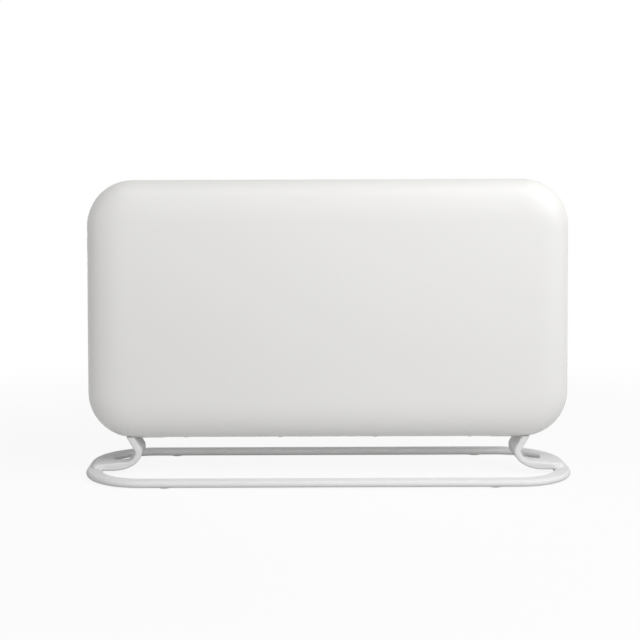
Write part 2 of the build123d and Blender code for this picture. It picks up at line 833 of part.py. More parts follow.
with BuildPart() as fuse_clip:
    clip_plane = facing_plane(right_plate_outer_x, element_y, fuse_z)
    clip_height = fuse_clip_thickness + fuse_radius
    with BuildSketch(clip_plane):
        with Locations((clip_height / 2, 0)):
            Rectangle(clip_height, fuse_clip_gap + 2 * fuse_clip_thickness)
        with Locations((fuse_clip_thickness + clip_height / 2, 0)):
            Rectangle(clip_height, fuse_clip_gap, mode=Mode.SUBTRACT)
    extrude(amount=fuse_length / 4, both=True)
save(fuse_clip.part, "fuse_clip")

# Tip-over switch: a pendulum on a pin, between two stops, under a small switch.
pendulum_x = right_plate_outer_x + tilt_plate_thickness + tilt_side_gap
clip_x = pendulum_x + pendulum_thickness + tilt_side_gap
tilt_stop_drop = pendulum_length / 2
tilt_stop_side = (
    pendulum_arm_width / 2 + tilt_stop_radius + tilt_side_gap + tilt_stop_drop * sin(radians(tilt_limit))
) / cos(radians(tilt_limit))

with BuildPart() as tilt_bracket:
    with BuildSketch(side_plane(right_plate_outer_x)):
        with Locations((pivot_y, pivot_z - tilt_stop_drop / 2)):
            RectangleRounded(tilt_plate_width, tilt_plate_height, tilt_plate_corner_radius)
    extrude(amount=tilt_plate_thickness)
    with BuildSketch(side_plane(right_plate_outer_x)):
        with Locations((pivot_y, pivot_z)):
            Circle(pivot_radius)
    extrude(amount=clip_x + 2 * clip_thickness - right_plate_outer_x)
    with BuildSketch(side_plane(right_plate_outer_x)):
        with Locations(
            (pivot_y - tilt_stop_side, pivot_z - tilt_stop_drop),
            (pivot_y + tilt_stop_side, pivot_z - tilt_stop_drop),
        ):
            Circle(tilt_stop_radius)
    extrude(amount=tilt_plate_thickness + pendulum_thickness)
save(tilt_bracket.part, "tilt_bracket")

with BuildPart() as tilt_pendulum:
    with BuildSketch(side_plane(pendulum_x)):
        with Locations((pivot_y, pivot_z)):
            Circle(pendulum_hub_radius)
        with Locations((pivot_y, pivot_z - pendulum_length / 2)):
            Rectangle(pendulum_arm_width, pendulum_length)
        with Locations((pivot_y, pivot_z - pendulum_length)):
            Circle(pendulum_bob_radius)
        with Locations((pivot_y, pivot_z)):
            Circle(pivot_radius + running_clearance, mode=Mode.SUBTRACT)
    extrude(amount=pendulum_thickness)
save(tilt_pendulum.part, "tilt_pendulum")

with BuildPart() as pivot_clip:
    with BuildSketch(side_plane(clip_x)):
        with Locations((pivot_y, pivot_z)):
            Circle(clip_radius)
            Circle(pivot_radius, mode=Mode.SUBTRACT)
    extrude(amount=clip_thickness)
save(pivot_clip.part, "pivot_clip")

microswitch_z = pivot_z + pendulum_hub_radius + tilt_side_gap + microswitch_height / 2

with BuildPart() as tilt_microswitch:
    with BuildSketch(side_plane(right_plate_outer_x + tilt_plate_thickness)):
        with Locations((pivot_y, microswitch_z)):
            Rectangle(microswitch_width, microswitch_height)
    extrude(amount=microswitch_depth)
    with BuildSketch(side_plane(right_plate_outer_x)):
        with Locations((pivot_y, microswitch_z + tilt_side_gap)):
            Rectangle(microswitch_width, microswitch_height - 2 * tilt_side_gap)
    extrude(amount=tilt_plate_thickness)
save(tilt_microswitch.part, "tilt_microswitch")

# ================================================================ mains inlet and terminals
block_face_y = inner_rear_y - block_depth
pole_depth = block_depth / 2

with BuildPart() as terminal_block:
    with BuildSketch(front_plane(inner_rear_y)):
        with Locations((block_x, block_z - casing_mid_z)):
            RectangleRounded(block_width, block_height, block_corner_radius)
    extrude(amount=block_depth)
    with BuildSketch(front_plane(block_face_y)):
        with Locations((block_x, block_z - casing_mid_z)):
            with GridLocations(pole_pitch, 1, pole_count, 1):
                Circle(pole_radius)
    extrude(amount=-pole_depth, mode=Mode.SUBTRACT)
save(terminal_block.part, "terminal_block")

with BuildPart() as terminal_poles:
    with BuildSketch(front_plane(block_face_y)):
        with Locations((block_x, block_z - casing_mid_z)):
            with GridLocations(pole_pitch, 1, pole_count, 1):
                Circle(pole_radius - fit_clearance)
    extrude(amount=-pole_depth)
save(terminal_poles.part, "terminal_poles")

gland_inner_end_y = inner_rear_y - 2 * gland_nut_thickness
gland_outer_end_y = rear_wall_y + gland_flange_thickness + gland_collar_length

with BuildPart() as mains_gland:
    with BuildSketch(up_plane(gland_z, gland_x)):
        with BuildLine():
            Polyline(
                (gland_bore_radius, gland_inner_end_y),
                (gland_radius, gland_inner_end_y),
                (gland_radius, rear_wall_y),
                (gland_flange_radius, rear_wall_y),
                (gland_flange_radius, rear_wall_y + gland_flange_thickness),
                (gland_radius, rear_wall_y + gland_flange_thickness),
                (gland_bore_radius + gland_lip, gland_outer_end_y),
                (gland_bore_radius, gland_outer_end_y),
                close=True,
            )
        make_face()
    revolve(axis=Axis((gland_x, 0, gland_z), (0, 1, 0)))
save(mains_gland.part, "mains_gland")

with BuildPart() as gland_nut:
    with BuildSketch(front_plane(inner_rear_y)):
        with Locations((gland_x, gland_z - casing_mid_z)):
            RegularPolygon(gland_nut_across_flats / 2, 6, major_radius=False)
            Circle(gland_radius + running_clearance, mode=Mode.SUBTRACT)
    extrude(amount=gland_nut_thickness)
save(gland_nut.part, "gland_nut")

with BuildPart() as earth_stud:
    with BuildSketch(side_plane(right_plate_outer_x)):
        with Locations((earth_stud_y, block_z)):
            RegularPolygon(earth_nut_radius, 6)
    extrude(amount=earth_stud_radius)
    with BuildSketch(side_plane(right_plate_outer_x)):
        with Locations((earth_stud_y, block_z)):
            Circle(earth_stud_radius)
    extrude(amount=earth_stud_length)
save(earth_stud.part, "earth_stud")


# ================================================================ internal leads
def build_lead(points, radii):
    """Insulated lead of round section along straight runs joined by tangent arcs."""
    with BuildPart() as lead:
        with BuildLine() as route:
            FilletPolyline(*points, radius=radii)
        start = route.line @ 0
        with BuildSketch(Plane(origin=start, z_dir=route.line % 0)):
            Circle(lead_radius)
        sweep(path=route.line)
    return lead.part


live_x = block_x + pole_pitch
earth_x = block_x - pole_pitch
terminal_right_x = sheath_end_x + terminal_length + tab_length
terminal_left_x = sheath_start_x - terminal_length - tab_length / 2
cutout_tab_x = cutout_face_x + tab_length
thermostat_lead_y = element_y + cutout_ear_width

save(
    build_lead(
        [
            (live_x, block_face_y, block_z),
            (live_x, live_lead_y, block_z),
            (live_lead_x, live_lead_y, lower_switch_z),
            (switch_back_x, live_lead_y, lower_switch_z),
        ],
        [lead_wide_bend, lead_tight_bend],
    ),
    "live_lead",
)
save(
    build_lead(
        [
            (switch_back_x, switch_lead_y, lower_switch_z),
            (switch_lead_x, switch_lead_y, lower_switch_z),
            (switch_lead_x, switch_lead_y, upper_switch_z - switch_lead_offset),
            (switch_back_x, switch_lead_y, upper_switch_z - switch_lead_offset),
        ],
        [lead_tight_bend, lead_tight_bend],
    ),
    "switch_link_lead",
)
save(
    build_lead(
        [
            (switch_back_x, switch_lead_y, upper_switch_z + switch_lead_offset),
            (switch_lead_x, switch_lead_y, upper_switch_z + switch_lead_offset),
            (switch_lead_x, switch_lead_y, knob_z),
            (thermostat_back_x, switch_lead_y, knob_z),
        ],
        [lead_tight_bend, lead_tight_bend],
    ),
    "thermostat_lead",
)
save(
    build_lead(
        [
            (thermostat_back_x, thermostat_lead_y, knob_z),
            (cutout_lead_x, thermostat_lead_y, knob_z),
            (cutout_lead_x, thermostat_lead_y, cutout_z),
            (cutout_tab_x, thermostat_lead_y, cutout_z),
        ],
        [lead_wide_bend, lead_tight_bend],
    ),
    "cutout_lead",
)
save(
    build_lead(
        [
            (cutout_tab_x, element_y, cutout_z),
            (element_lead_x, element_y, cutout_z),
            (element_lead_x, element_y, element_z),
            (terminal_right_x, element_y, element_z),
        ],
        [lead_wide_bend, lead_tight_bend],
    ),
    "element_live_lead",
)
save(
    build_lead(
        [
            (block_x, block_face_y, block_z),
            (block_x, neutral_lead_y, block_z),
            (block_x, neutral_lead_y, neutral_lead_z),
            (terminal_left_x, neutral_lead_y, neutral_lead_z),
            (terminal_left_x, element_y, neutral_lead_z + neutral_lead_y - element_y),
            (terminal_left_x, element_y, element_z - tab_width / 2),
        ],
        [lead_tight_bend, lead_wide_bend, lead_wide_bend, lead_wide_bend],
    ),
    "element_neutral_lead",
)
save(
    build_lead(
        [
            (earth_x, block_face_y, block_z),
            (earth_x, earth_stud_y, block_z),
            (right_plate_outer_x + earth_stud_length, earth_stud_y, block_z),
        ],
        [lead_tight_bend],
    ),
    "earth_lead",
)

# ================================================================ floor loop
loop_screw_places = [
    (side * loop_centre_x, leg_middle_y + end * loop_screw_spacing / 2)
    for side in (-1, 1)
    for end in (-1, 1)
]
pad_places = [(side * pad_x, end * loop_centre_y) for side in (-1, 1) for end in (-1, 1)]

# One flat-oval tube, bent to a rounded rectangle that lies on the floor.
with BuildPart() as floor_loop:
    with BuildLine(up_plane(tube_mid_z)) as loop_path:
        straight_x = loop_centre_x - loop_path_radius
        straight_y = loop_centre_y - loop_path_radius
        Line((0, -loop_centre_y), (straight_x, -loop_centre_y))
        CenterArc((straight_x, -straight_y), loop_path_radius, -90, 90)
        Line((loop_centre_x, -straight_y), (loop_centre_x, straight_y))
        CenterArc((straight_x, straight_y), loop_path_radius, 0, 90)
        Line((straight_x, loop_centre_y), (-straight_x, loop_centre_y))
        CenterArc((-straight_x, straight_y), loop_path_radius, 90, 90)
        Line((-loop_centre_x, straight_y), (-loop_centre_x, -straight_y))
        CenterArc((-straight_x, -straight_y), loop_path_radius, 180, 90)
        Line((-straight_x, -loop_centre_y), (0, -loop_centre_y))
    with BuildSketch(side_plane(0, -loop_centre_y, tube_mid_z)):
        SlotOverall(tube_width, tube_height)
        SlotOverall(tube_width - 2 * tube_wall, tube_height - 2 * tube_wall, mode=Mode.SUBTRACT)
    sweep(path=loop_path.line)
    with BuildSketch(up_plane(tube_bottom_z)):
        with Locations(*loop_screw_places):
            Circle(loop_screw_access_radius)
        with Locations(*pad_places):
            Circle(pad_plug_radius + running_clearance)
    extrude(amount=tube_wall, mode=Mode.SUBTRACT)
    with BuildSketch(up_plane(tube_top_z)):
        with Locations(*loop_screw_places):
            Circle(loop_screw_radius + fit_clearance)
    extrude(amount=-tube_wall, mode=Mode.SUBTRACT)
save(floor_loop.part, "floor_loop")

with BuildPart() as floor_pads:
    with BuildSketch(Plane.XY):
        with Locations(*pad_places):
            Circle(pad_radius)
    extrude(amount=pad_height)
    with BuildSketch(up_plane(pad_height)):
        with Locations(*pad_places):
            Circle(pad_plug_radius)
    extrude(amount=pad_plug_length)
save(floor_pads.part, "floor_pads")

# ================================================================ legs
def build_leg():
    """Right leg: it leans inwards from the casing, turns back at its waist and ends in a foot
    that sits over the side of the floor loop. A flange under the casing takes its screws."""
    waist_outer_x = leg_waist_inner_x + leg_thickness
    lean = right_angle - leg_slope
    blade_top_z = rear_bottom_z + leg_thickness
    with BuildPart() as leg:
        with BuildSketch(facing_plane(0, leg_front_y, 0)):
            with BuildLine():
                inner_bend = CenterArc(
                    (leg_waist_inner_x + leg_inner_bend, leg_waist_z),
                    leg_inner_bend,
                    2 * right_angle,
                    -lean,
                )
                outer_bend = CenterArc(
                    (waist_outer_x + leg_outer_bend, leg_waist_z),
                    leg_outer_bend,
                    2 * right_angle,
                    -lean,
                )
                inner_end = inner_bend @ 1
                outer_end = outer_bend @ 1
                inner_top_x = inner_end.X + (blade_top_z - inner_end.Y) / tan(radians(leg_slope))
                outer_top_x = outer_end.X + (blade_top_z - outer_end.Y) / tan(radians(leg_slope))
                Polyline(
                    inner_end, (inner_top_x, blade_top_z), (outer_top_x, blade_top_z), outer_end
                )
                EllipticalCenterArc(
                    (leg_heel_x, leg_waist_z),
                    leg_heel_x - leg_waist_inner_x,
                    leg_waist_z - leg_heel_z,
                    start_angle=2 * right_angle,
                    arc_size=right_angle,
                )
                EllipticalCenterArc(
                    (leg_hollow_x, leg_waist_z),
                    leg_hollow_x - waist_outer_x,
                    leg_waist_z - leg_foot_top_z,
                    start_angle=2 * right_angle,
                    arc_size=right_angle,
                )
                Polyline(
                    (leg_heel_x, leg_heel_z),
                    (leg_foot_end_x, leg_heel_z),
                    (leg_foot_end_x, leg_foot_end_z),
                    (leg_hollow_x, leg_foot_top_z),
                )
            make_face()
        extrude(amount=-leg_width)
        fillet(leg.edges().filter_by(Axis.Z).group_by(Axis.X)[-1], foot_corner_radius)
        fillet(leg.faces().sort_by(Axis.Y)[0].edges(), leg_edge_rounding)
        # A notch in the rear edge narrows the run between the waist and the foot.
        notch_depth = leg_rear_y - notch_front_y
        with BuildSketch(up_plane(0)):
            with Locations(((notch_inner_x + notch_outer_x) / 2, notch_front_y + notch_depth)):
                RectangleRounded(notch_outer_x - notch_inner_x, 2 * notch_depth, notch_radius)
        extrude(amount=leg_waist_z, mode=Mode.SUBTRACT)
        # The foot is cut to sit on the tube, level with its top and clear of its inner side.
        saddle_width = tube_width + 2 * leg_panel_gap
        with BuildSketch(facing_plane(0, leg_rear_y, 0)):
            with Locations((loop_centre_x, tube_mid_z)):
                SlotOverall(saddle_width, tube_height)
            with Locations((loop_centre_x + tube_width / 2, tube_mid_z)):
                Rectangle(tube_width, tube_height)
        extrude(amount=leg_width, mode=Mode.SUBTRACT)
        with BuildSketch(up_plane(tube_top_z)):
            with Locations(*loop_screw_places[2:]):
                Circle(loop_screw_radius + running_clearance)
        extrude(amount=loop_screw_reach + fit_clearance, mode=Mode.SUBTRACT)
        # The top follows the underside of the casing.
        with Locations((0, leg_panel_gap, -leg_panel_gap)):
            add(casing_form.part, mode=Mode.SUBTRACT)
        flange_length = flange_outer_x - flange_inner_x
        flange_width = flange_rear_y - flange_front_y
        with BuildSketch(up_plane(flange_bottom_z)):
            with Locations((flange_inner_x + flange_length / 2, leg_screw_y)):
                RectangleRounded(flange_length, flange_width, flange_corner_radius)
        extrude(amount=flange_thickness)
        split(bisect_by=up_plane(rear_bottom_z), keep=Keep.BOTTOM)
        with Locations(*[Location((leg_screw_x, y, flange_bottom_z), (180, 0, 0))
                         for x, y in leg_screw_places[2:]]):
            CounterSinkHole(leg_screw_radius + fit_clearance, leg_screw_head_radius)
    return leg.part


right_leg = build_leg()
save(right_leg, "leg_right")
save(mirror(right_leg, about=Plane.YZ), "leg_left")


def build_leg_bracket(side):
    """Tapped plate inside the casing that takes the screws of one leg."""
    bracket_length = flange_outer_x - flange_inner_x
    with BuildPart() as bracket:
        with BuildSketch(up_plane(inner_bottom_z)):
            with Locations((side * (flange_inner_x + bracket_length / 2), leg_screw_y)):
                RectangleRounded(bracket_length, flange_rear_y - flange_front_y, flange_corner_radius)
            with Locations(*leg_screw_places):
                Circle(leg_screw_radius + running_clearance, mode=Mode.SUBTRACT)
        extrude(amount=bracket_thickness)
    return bracket.part


save(build_leg_bracket(-1), "leg_bracket_left")
save(build_leg_bracket(1), "leg_bracket_right")


# ================================================================ fasteners
def build_screw(seat, shank_radius, shank_length, head_radius, head_height):
    """Pan-head screw: the seat plane touches the underside of the head, the shank goes down its
    normal."""
    with BuildPart() as screw:
        with BuildSketch(seat):
            Circle(head_radius)
        extrude(amount=-head_height)
        fillet(screw.faces().sort_by(Axis(seat.origin, seat.z_dir))[0].edges(), head_height / 2)
        with BuildSketch(seat):
            Circle(shank_radius)
        extrude(amount=shank_length)
    return screw.part


def build_countersunk_screw(x, y):
    """Countersunk leg screw, its head flush with the underside of the leg flange."""
    cone_height = leg_screw_head_radius - leg_screw_radius
    with BuildPart() as screw:
        with BuildSketch(facing_plane(x, y, flange_bottom_z)):
            with BuildLine():
                Polyline(
                    (0, 0),
                    (leg_screw_head_radius, 0),
                    (leg_screw_radius, cone_height),
                    (leg_screw_radius, leg_screw_length),
                    (0, leg_screw_length),
                    close=True,
                )
            make_face()
        revolve(axis=Axis((x, y, 0), (0, 0, 1)))
    return screw.part


def rear_seat(x, level, stand_off=0):
    """Seat on the rear wall for a screw that goes in towards the room."""
    return facing_plane(x, rear_wall_y + stand_off, casing_mid_z + level)


leg_screws = Compound(children=[build_countersunk_screw(x, y) for x, y in leg_screw_places])
save(leg_screws, "leg_screws")

loop_screws = Compound(
    children=[
        build_screw(
            up_plane(tube_top_z - tube_wall, x, y),
            loop_screw_radius,
            tube_wall + loop_screw_reach,
            loop_screw_head_radius,
            loop_screw_head_height,
        )
        for x, y in loop_screw_places
    ]
)
save(loop_screws, "loop_screws")

panel_screws = Compound(
    children=[
        build_screw(
            up_plane(ground_clearance, x, y),
            panel_screw_radius,
            panel_screw_length,
            panel_screw_head_radius,
            panel_screw_head_height,
        )
        for x, y in panel_screw_places
    ]
)
save(panel_screws, "panel_screws")

rear_screws = Compound(
    children=[
        build_screw(
            rear_seat(x, level),
            rear_screw_radius,
            rear_screw_length,
            rear_screw_head_radius,
            rear_screw_head_height,
        )
        for x, level in rear_screw_places
    ]
)
save(rear_screws, "rear_screws")


def build_rivet_nut(x, level):
    """Threaded insert in the rear wall for the wall bracket, open right through."""
    with BuildPart() as rivet_nut:
        with BuildSketch(rear_seat(x, level, rivet_nut_flange_thickness)):
            Circle(rivet_nut_flange_radius)
        extrude(amount=rivet_nut_flange_thickness)
        with BuildSketch(rear_seat(x, level)):
            Circle(rivet_nut_radius)
        extrude(amount=rivet_nut_length)
        with BuildSketch(rear_seat(x, level, rivet_nut_flange_thickness)):
            Circle(wall_fixing_bore_radius)
        extrude(amount=rivet_nut_flange_thickness + rivet_nut_length, mode=Mode.SUBTRACT)
    return rivet_nut.part


wall_rivet_nuts = Compound(children=[build_rivet_nut(x, level) for x, level in wall_fixing_places])
save(wall_rivet_nuts, "wall_rivet_nuts")
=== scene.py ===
"""Slim white convector heater on a floor loop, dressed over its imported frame, in a plain studio."""

import json
import logging
import math
from collections.abc import Callable
from dataclasses import dataclass
from enum import Enum
from typing import Any

import bmesh
import bpy
from mathutils import Matrix, Vector


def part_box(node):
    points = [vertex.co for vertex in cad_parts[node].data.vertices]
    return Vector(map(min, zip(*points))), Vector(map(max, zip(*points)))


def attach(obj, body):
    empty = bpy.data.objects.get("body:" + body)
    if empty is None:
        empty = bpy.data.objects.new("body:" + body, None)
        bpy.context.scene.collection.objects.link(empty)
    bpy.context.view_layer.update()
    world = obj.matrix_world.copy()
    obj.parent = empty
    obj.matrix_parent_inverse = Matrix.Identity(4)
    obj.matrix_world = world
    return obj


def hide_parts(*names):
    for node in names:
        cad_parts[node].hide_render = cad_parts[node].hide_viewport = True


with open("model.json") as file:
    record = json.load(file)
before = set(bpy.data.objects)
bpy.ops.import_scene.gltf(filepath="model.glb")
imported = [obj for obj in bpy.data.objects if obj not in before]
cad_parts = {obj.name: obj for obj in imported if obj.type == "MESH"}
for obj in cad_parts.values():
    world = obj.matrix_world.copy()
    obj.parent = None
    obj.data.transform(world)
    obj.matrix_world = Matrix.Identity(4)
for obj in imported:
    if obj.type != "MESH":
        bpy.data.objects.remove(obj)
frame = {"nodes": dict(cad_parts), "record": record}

LOG = logging.getLogger("heater")
HEATER_BODY = "heater"
MM = 0.001
MERGE_DISTANCE = 0.002 * MM
FLAT_FOLD = math.radians(1)
ROUND_STEPS = 6
PLACE_DIGITS = 4
FULL_WHITE = (1.0, 1.0, 1.0)
# Inputs and output of a Mix node that hold its colours.
FIRST_COLOUR, SECOND_COLOUR, MIXED_COLOUR = 6, 7, 2
RIGHT, BACK, DOWN = Vector((1, 0, 0)), Vector((0, 1, 0)), Vector((0, 0, -1))
# Turns a form that lies in the XY plane and faces +Z to face the user's right.
TO_SIDE = Matrix(((0, 0, 1, 0), (1, 0, 0, 0), (0, 1, 0, 0), (0, 0, 0, 1)))

Colour = tuple[float, float, float]
Triple = tuple[float, float, float]
Box = tuple[Vector, Vector]
Outline = tuple[tuple[float, float], ...]


# ---------------------------------------------------------------- shader building
class Ray(Enum):
    """Kinds of ray that see the white background."""

    CAMERA = "Is Camera Ray"
    GLOSSY = "Is Glossy Ray"
    TRANSMISSION = "Is Transmission Ray"


class Socket:
    """Output of a node. Arithmetic on it adds Math nodes to the same tree."""

    def __init__(self, nodes: "Nodes", output: bpy.types.NodeSocket) -> None:
        """Wrap one output.

        Args:
            nodes: Tree that the output belongs to.
            output: The node's output socket.
        """
        self.nodes = nodes
        self.output = output

    def _math(self, operation: str, first: "Socket | float", second: "Socket | float") -> "Socket":
        """Add one Math node.

        Args:
            operation: Name of the Math node's operation.
            first: First operand.
            second: Second operand.

        Returns:
            The node's result.
        """
        return self.nodes.add("ShaderNodeMath", {"operation": operation}, {0: first, 1: second})

    def __add__(self, other: "Socket | float") -> "Socket":
        """Sum."""
        return self._math("ADD", self, other)

    __radd__ = __add__

    def __sub__(self, other: "Socket | float") -> "Socket":
        """Difference."""
        return self._math("SUBTRACT", self, other)

    def __rsub__(self, other: "Socket | float") -> "Socket":
        """Difference with the socket on the right."""
        return self._math("SUBTRACT", other, self)

    def __mul__(self, other: "Socket | float") -> "Socket":
        """Product."""
        return self._math("MULTIPLY", self, other)

    __rmul__ = __mul__

    def or_larger(self, other: "Socket") -> "Socket":
        """Larger of two values."""
        return self._math("MAXIMUM", self, other)


class Nodes:
    """The node tree of a material or a world under construction, and the calls that add to it."""

    def __init__(self, owner: bpy.types.Material | bpy.types.World, output: str) -> None:
        """Start an empty tree.

        Args:
            owner: Material or world that the tree belongs to.
            output: Type of its output node.
        """
        owner.use_nodes = True
        self.tree = owner.node_tree
        self.tree.nodes.clear()
        self.output = self.tree.nodes.new(output)

    def connect(self, socket: bpy.types.NodeSocket, value: Any) -> None:
        """Link a Socket to an input, or set the input's own value.

        Args:
            socket: Input to fill.
            value: A Socket to link, or a constant.
        """
        if isinstance(value, Socket):
            self.tree.links.new(value.output, socket)
        else:
            socket.default_value = value

    def add(
        self,
        kind: str,
        settings: dict[str, Any] | None = None,
        sockets: dict[str | int, Any] | None = None,
        output: str | int = 0,
    ) -> Socket:
        """Add a node of any type.

        Args:
            kind: Node type.
            settings: Node properties, set first.
            sockets: Values or links of its inputs, by name or index.
            output: Output to return, by name or index.

        Returns:
            The chosen output.
        """
        node = self.tree.nodes.new(kind)
        for key, value in (settings or {}).items():
            setattr(node, key, value)
        for key, value in (sockets or {}).items():
            self.connect(node.inputs[key], value)
        return Socket(self, node.outputs[output])

    def blend(self, factor: Socket, first: Colour, second: Colour) -> Socket:
        """Mix two colours.

        Args:
            factor: Share of the second colour.
            first: Colour at 0.
            second: Colour at 1.

        Returns:
            The mixed colour.
        """
        values = {"Factor": factor, FIRST_COLOUR: (*first, 1.0), SECOND_COLOUR: (*second, 1.0)}
        return self.add("ShaderNodeMix", {"data_type": "RGBA"}, values, MIXED_COLOUR)

    def seen_white(self) -> Socket:
        """Tell the rays that see the plain white background.

        Returns:
            1 for camera, glossy and transmission rays, 0 for all others.
        """
        first, *others = [self.add("ShaderNodeLightPath", output=ray.value) for ray in Ray]
        for other in others:
            first = first.or_larger(other)
        return first

    def show(self, surface: Socket) -> None:
        """Link a shader to the tree's output."""
        self.connect(self.output.inputs["Surface"], surface)


class Shader(Nodes):
    """A material with a Principled surface and patterns on the object's own coordinates."""

    def __init__(self, name: str) -> None:
        """Make the material.

        Args:
            name: Name of the material.
        """
        self.material = bpy.data.materials.new(name)
        super().__init__(self.material, "ShaderNodeOutputMaterial")
        self.surface = self.add("ShaderNodeBsdfPrincipled")
        self.show(self.surface)
        self.coordinates = self.add("ShaderNodeTexCoord", output="Object")

    def noise(self, scale: float, detail: float = 2.0, stretch: Triple = (1.0, 1.0, 1.0)) -> Socket:
        """Noise on the object's own coordinates.

        Args:
            scale: Features per metre.
            detail: Octaves of finer noise.
            stretch: Scale of the pattern along each axis.

        Returns:
            Noise from 0 to 1.
        """
        place = self.add("ShaderNodeMapping", None, {"Vector": self.coordinates, "Scale": stretch})
        values = {"Vector": place, "Scale": scale, "Detail": detail}
        return self.add("ShaderNodeTexNoise", None, values, "Fac")

    def bump(self, height: Socket, distance: float, strength: float) -> Socket:
        """Turn a height into a normal.

        Args:
            height: Height from 0 to 1.
            distance: Depth of the relief in metres.
            strength: Share of the relief that shows.

        Returns:
            The bent normal.
        """
        values = {"Height": height, "Distance": distance, "Strength": strength}
        return self.add("ShaderNodeBump", None, values, "Normal")

    def finish(self, **inputs: Any) -> bpy.types.Material:
        """Fill the Principled surface.

        Args:
            **inputs: Input names, with underscores for spaces, and their values or links.

        Returns:
            The finished material.
        """
        sockets = self.surface.output.node.inputs
        for key, value in inputs.items():
            self.connect(sockets[key.replace("_", " ")], value)
        return self.material


def shade(colour: Colour, factor: float) -> Colour:
    """Scale a colour.

    Args:
        colour: Colour to scale.
        factor: 1 keeps it.

    Returns:
        The scaled colour, no channel above 1.
    """
    return tuple(min(1.0, channel * factor) for channel in colour)


# ---------------------------------------------------------------- finishes
@dataclass(frozen=True)
class PowderCoat:
    """Baked satin lacquer on steel, with a very fine orange peel."""

    colour: Colour
    roughness: float = 0.36
    specular: float = 0.5
    coat: float = 0.12
    coat_roughness: float = 0.25
    warmth: Colour = (1.0, 0.996, 0.985)
    cloud_per_metre: float = 6.0
    cloud_roughness: float = 0.06
    peel_per_metre: float = 620.0
    peel_detail: float = 3.0
    peel_roughness: float = 0.05
    peel_depth: float = 0.01 * MM
    peel_strength: float = 0.5

    def build(self, name: str) -> bpy.types.Material:
        """Make the material.

        Args:
            name: Name of the material.

        Returns:
            The material.
        """
        shader = Shader(name)
        cloud = shader.noise(self.cloud_per_metre) - 0.5
        peel = shader.noise(self.peel_per_metre, self.peel_detail)
        warm = tuple(channel * share for channel, share in zip(self.colour, self.warmth))
        return shader.finish(
            Base_Color=shader.blend(cloud + 0.5, self.colour, warm),
            Roughness=(
                self.roughness + self.cloud_roughness * cloud + self.peel_roughness * (peel - 0.5)
            ),
            Specular_IOR_Level=self.specular,
            Coat_Weight=self.coat,
            Coat_Roughness=self.coat_roughness,
            Normal=shader.bump(peel, self.peel_depth, self.peel_strength),
        )


@dataclass(frozen=True)
class SheetMetal:
    """Rolled or drawn metal with fine lines along one axis and faint stains."""

    colour: Colour
    roughness: float = 0.32
    lines_per_metre: float = 60.0
    line_detail: float = 4.0
    line_stretch: Triple = (1.0, 40.0, 40.0)
    line_roughness: float = 0.10
    line_depth: float = 0.02 * MM
    line_strength: float = 0.6
    stains_per_metre: float = 18.0
    stain_detail: float = 3.0
    stain_roughness: float = 0.14
    darkest: float = 0.86
    lightest: float = 1.08

    def build(self, name: str) -> bpy.types.Material:
        """Make the material.

        Args:
            name: Name of the material.

        Returns:
            The material.
        """
        shader = Shader(name)
        lines = shader.noise(self.lines_per_metre, self.line_detail, self.line_stretch)
        stain = shader.noise(self.stains_per_metre, self.stain_detail)
        low, high = shade(self.colour, self.darkest), shade(self.colour, self.lightest)
        return shader.finish(
            Base_Color=shader.blend(lines * 0.5 + stain * 0.5, low, high),
            Metallic=1.0,
            Roughness=(
                self.roughness
                + self.stain_roughness * (stain - 0.5)
                + self.line_roughness * (lines - 0.5)
            ),
            Normal=shader.bump(lines, self.line_depth, self.line_strength),
        )


@dataclass(frozen=True)
class Moulding:
    """Moulded plastic, rubber or glazed ceramic with its grain and a slight mottle."""

    colour: Colour
    roughness: float = 0.5
    coat: float = 0.0
    coat_roughness: float = 0.15
    mottle: float = 0.05
    mottle_per_metre: float = 25.0
    mottle_roughness: float = 0.10
    grain_per_metre: float = 1500.0
    grain_detail: float = 3.0
    grain_roughness: float = 0.08
    grain_depth: float = 0.03 * MM
    grain_strength: float = 0.6

    def build(self, name: str) -> bpy.types.Material:
        """Make the material.

        Args:
            name: Name of the material.

        Returns:
            The material.
        """
        shader = Shader(name)
        grain = shader.noise(self.grain_per_metre, self.grain_detail)
        cloud = shader.noise(self.mottle_per_metre)
        low, high = shade(self.colour, 1.0 - self.mottle), shade(self.colour, 1.0 + self.mottle)
        return shader.finish(
            Base_Color=shader.blend(cloud, low, high),
            Roughness=(
                self.roughness
                + self.mottle_roughness * (cloud - 0.5)
                + self.grain_roughness * (grain - 0.5)
            ),
            Coat_Weight=self.coat,
            Coat_Roughness=self.coat_roughness,
            Normal=shader.bump(grain, self.grain_depth, self.grain_strength),
        )


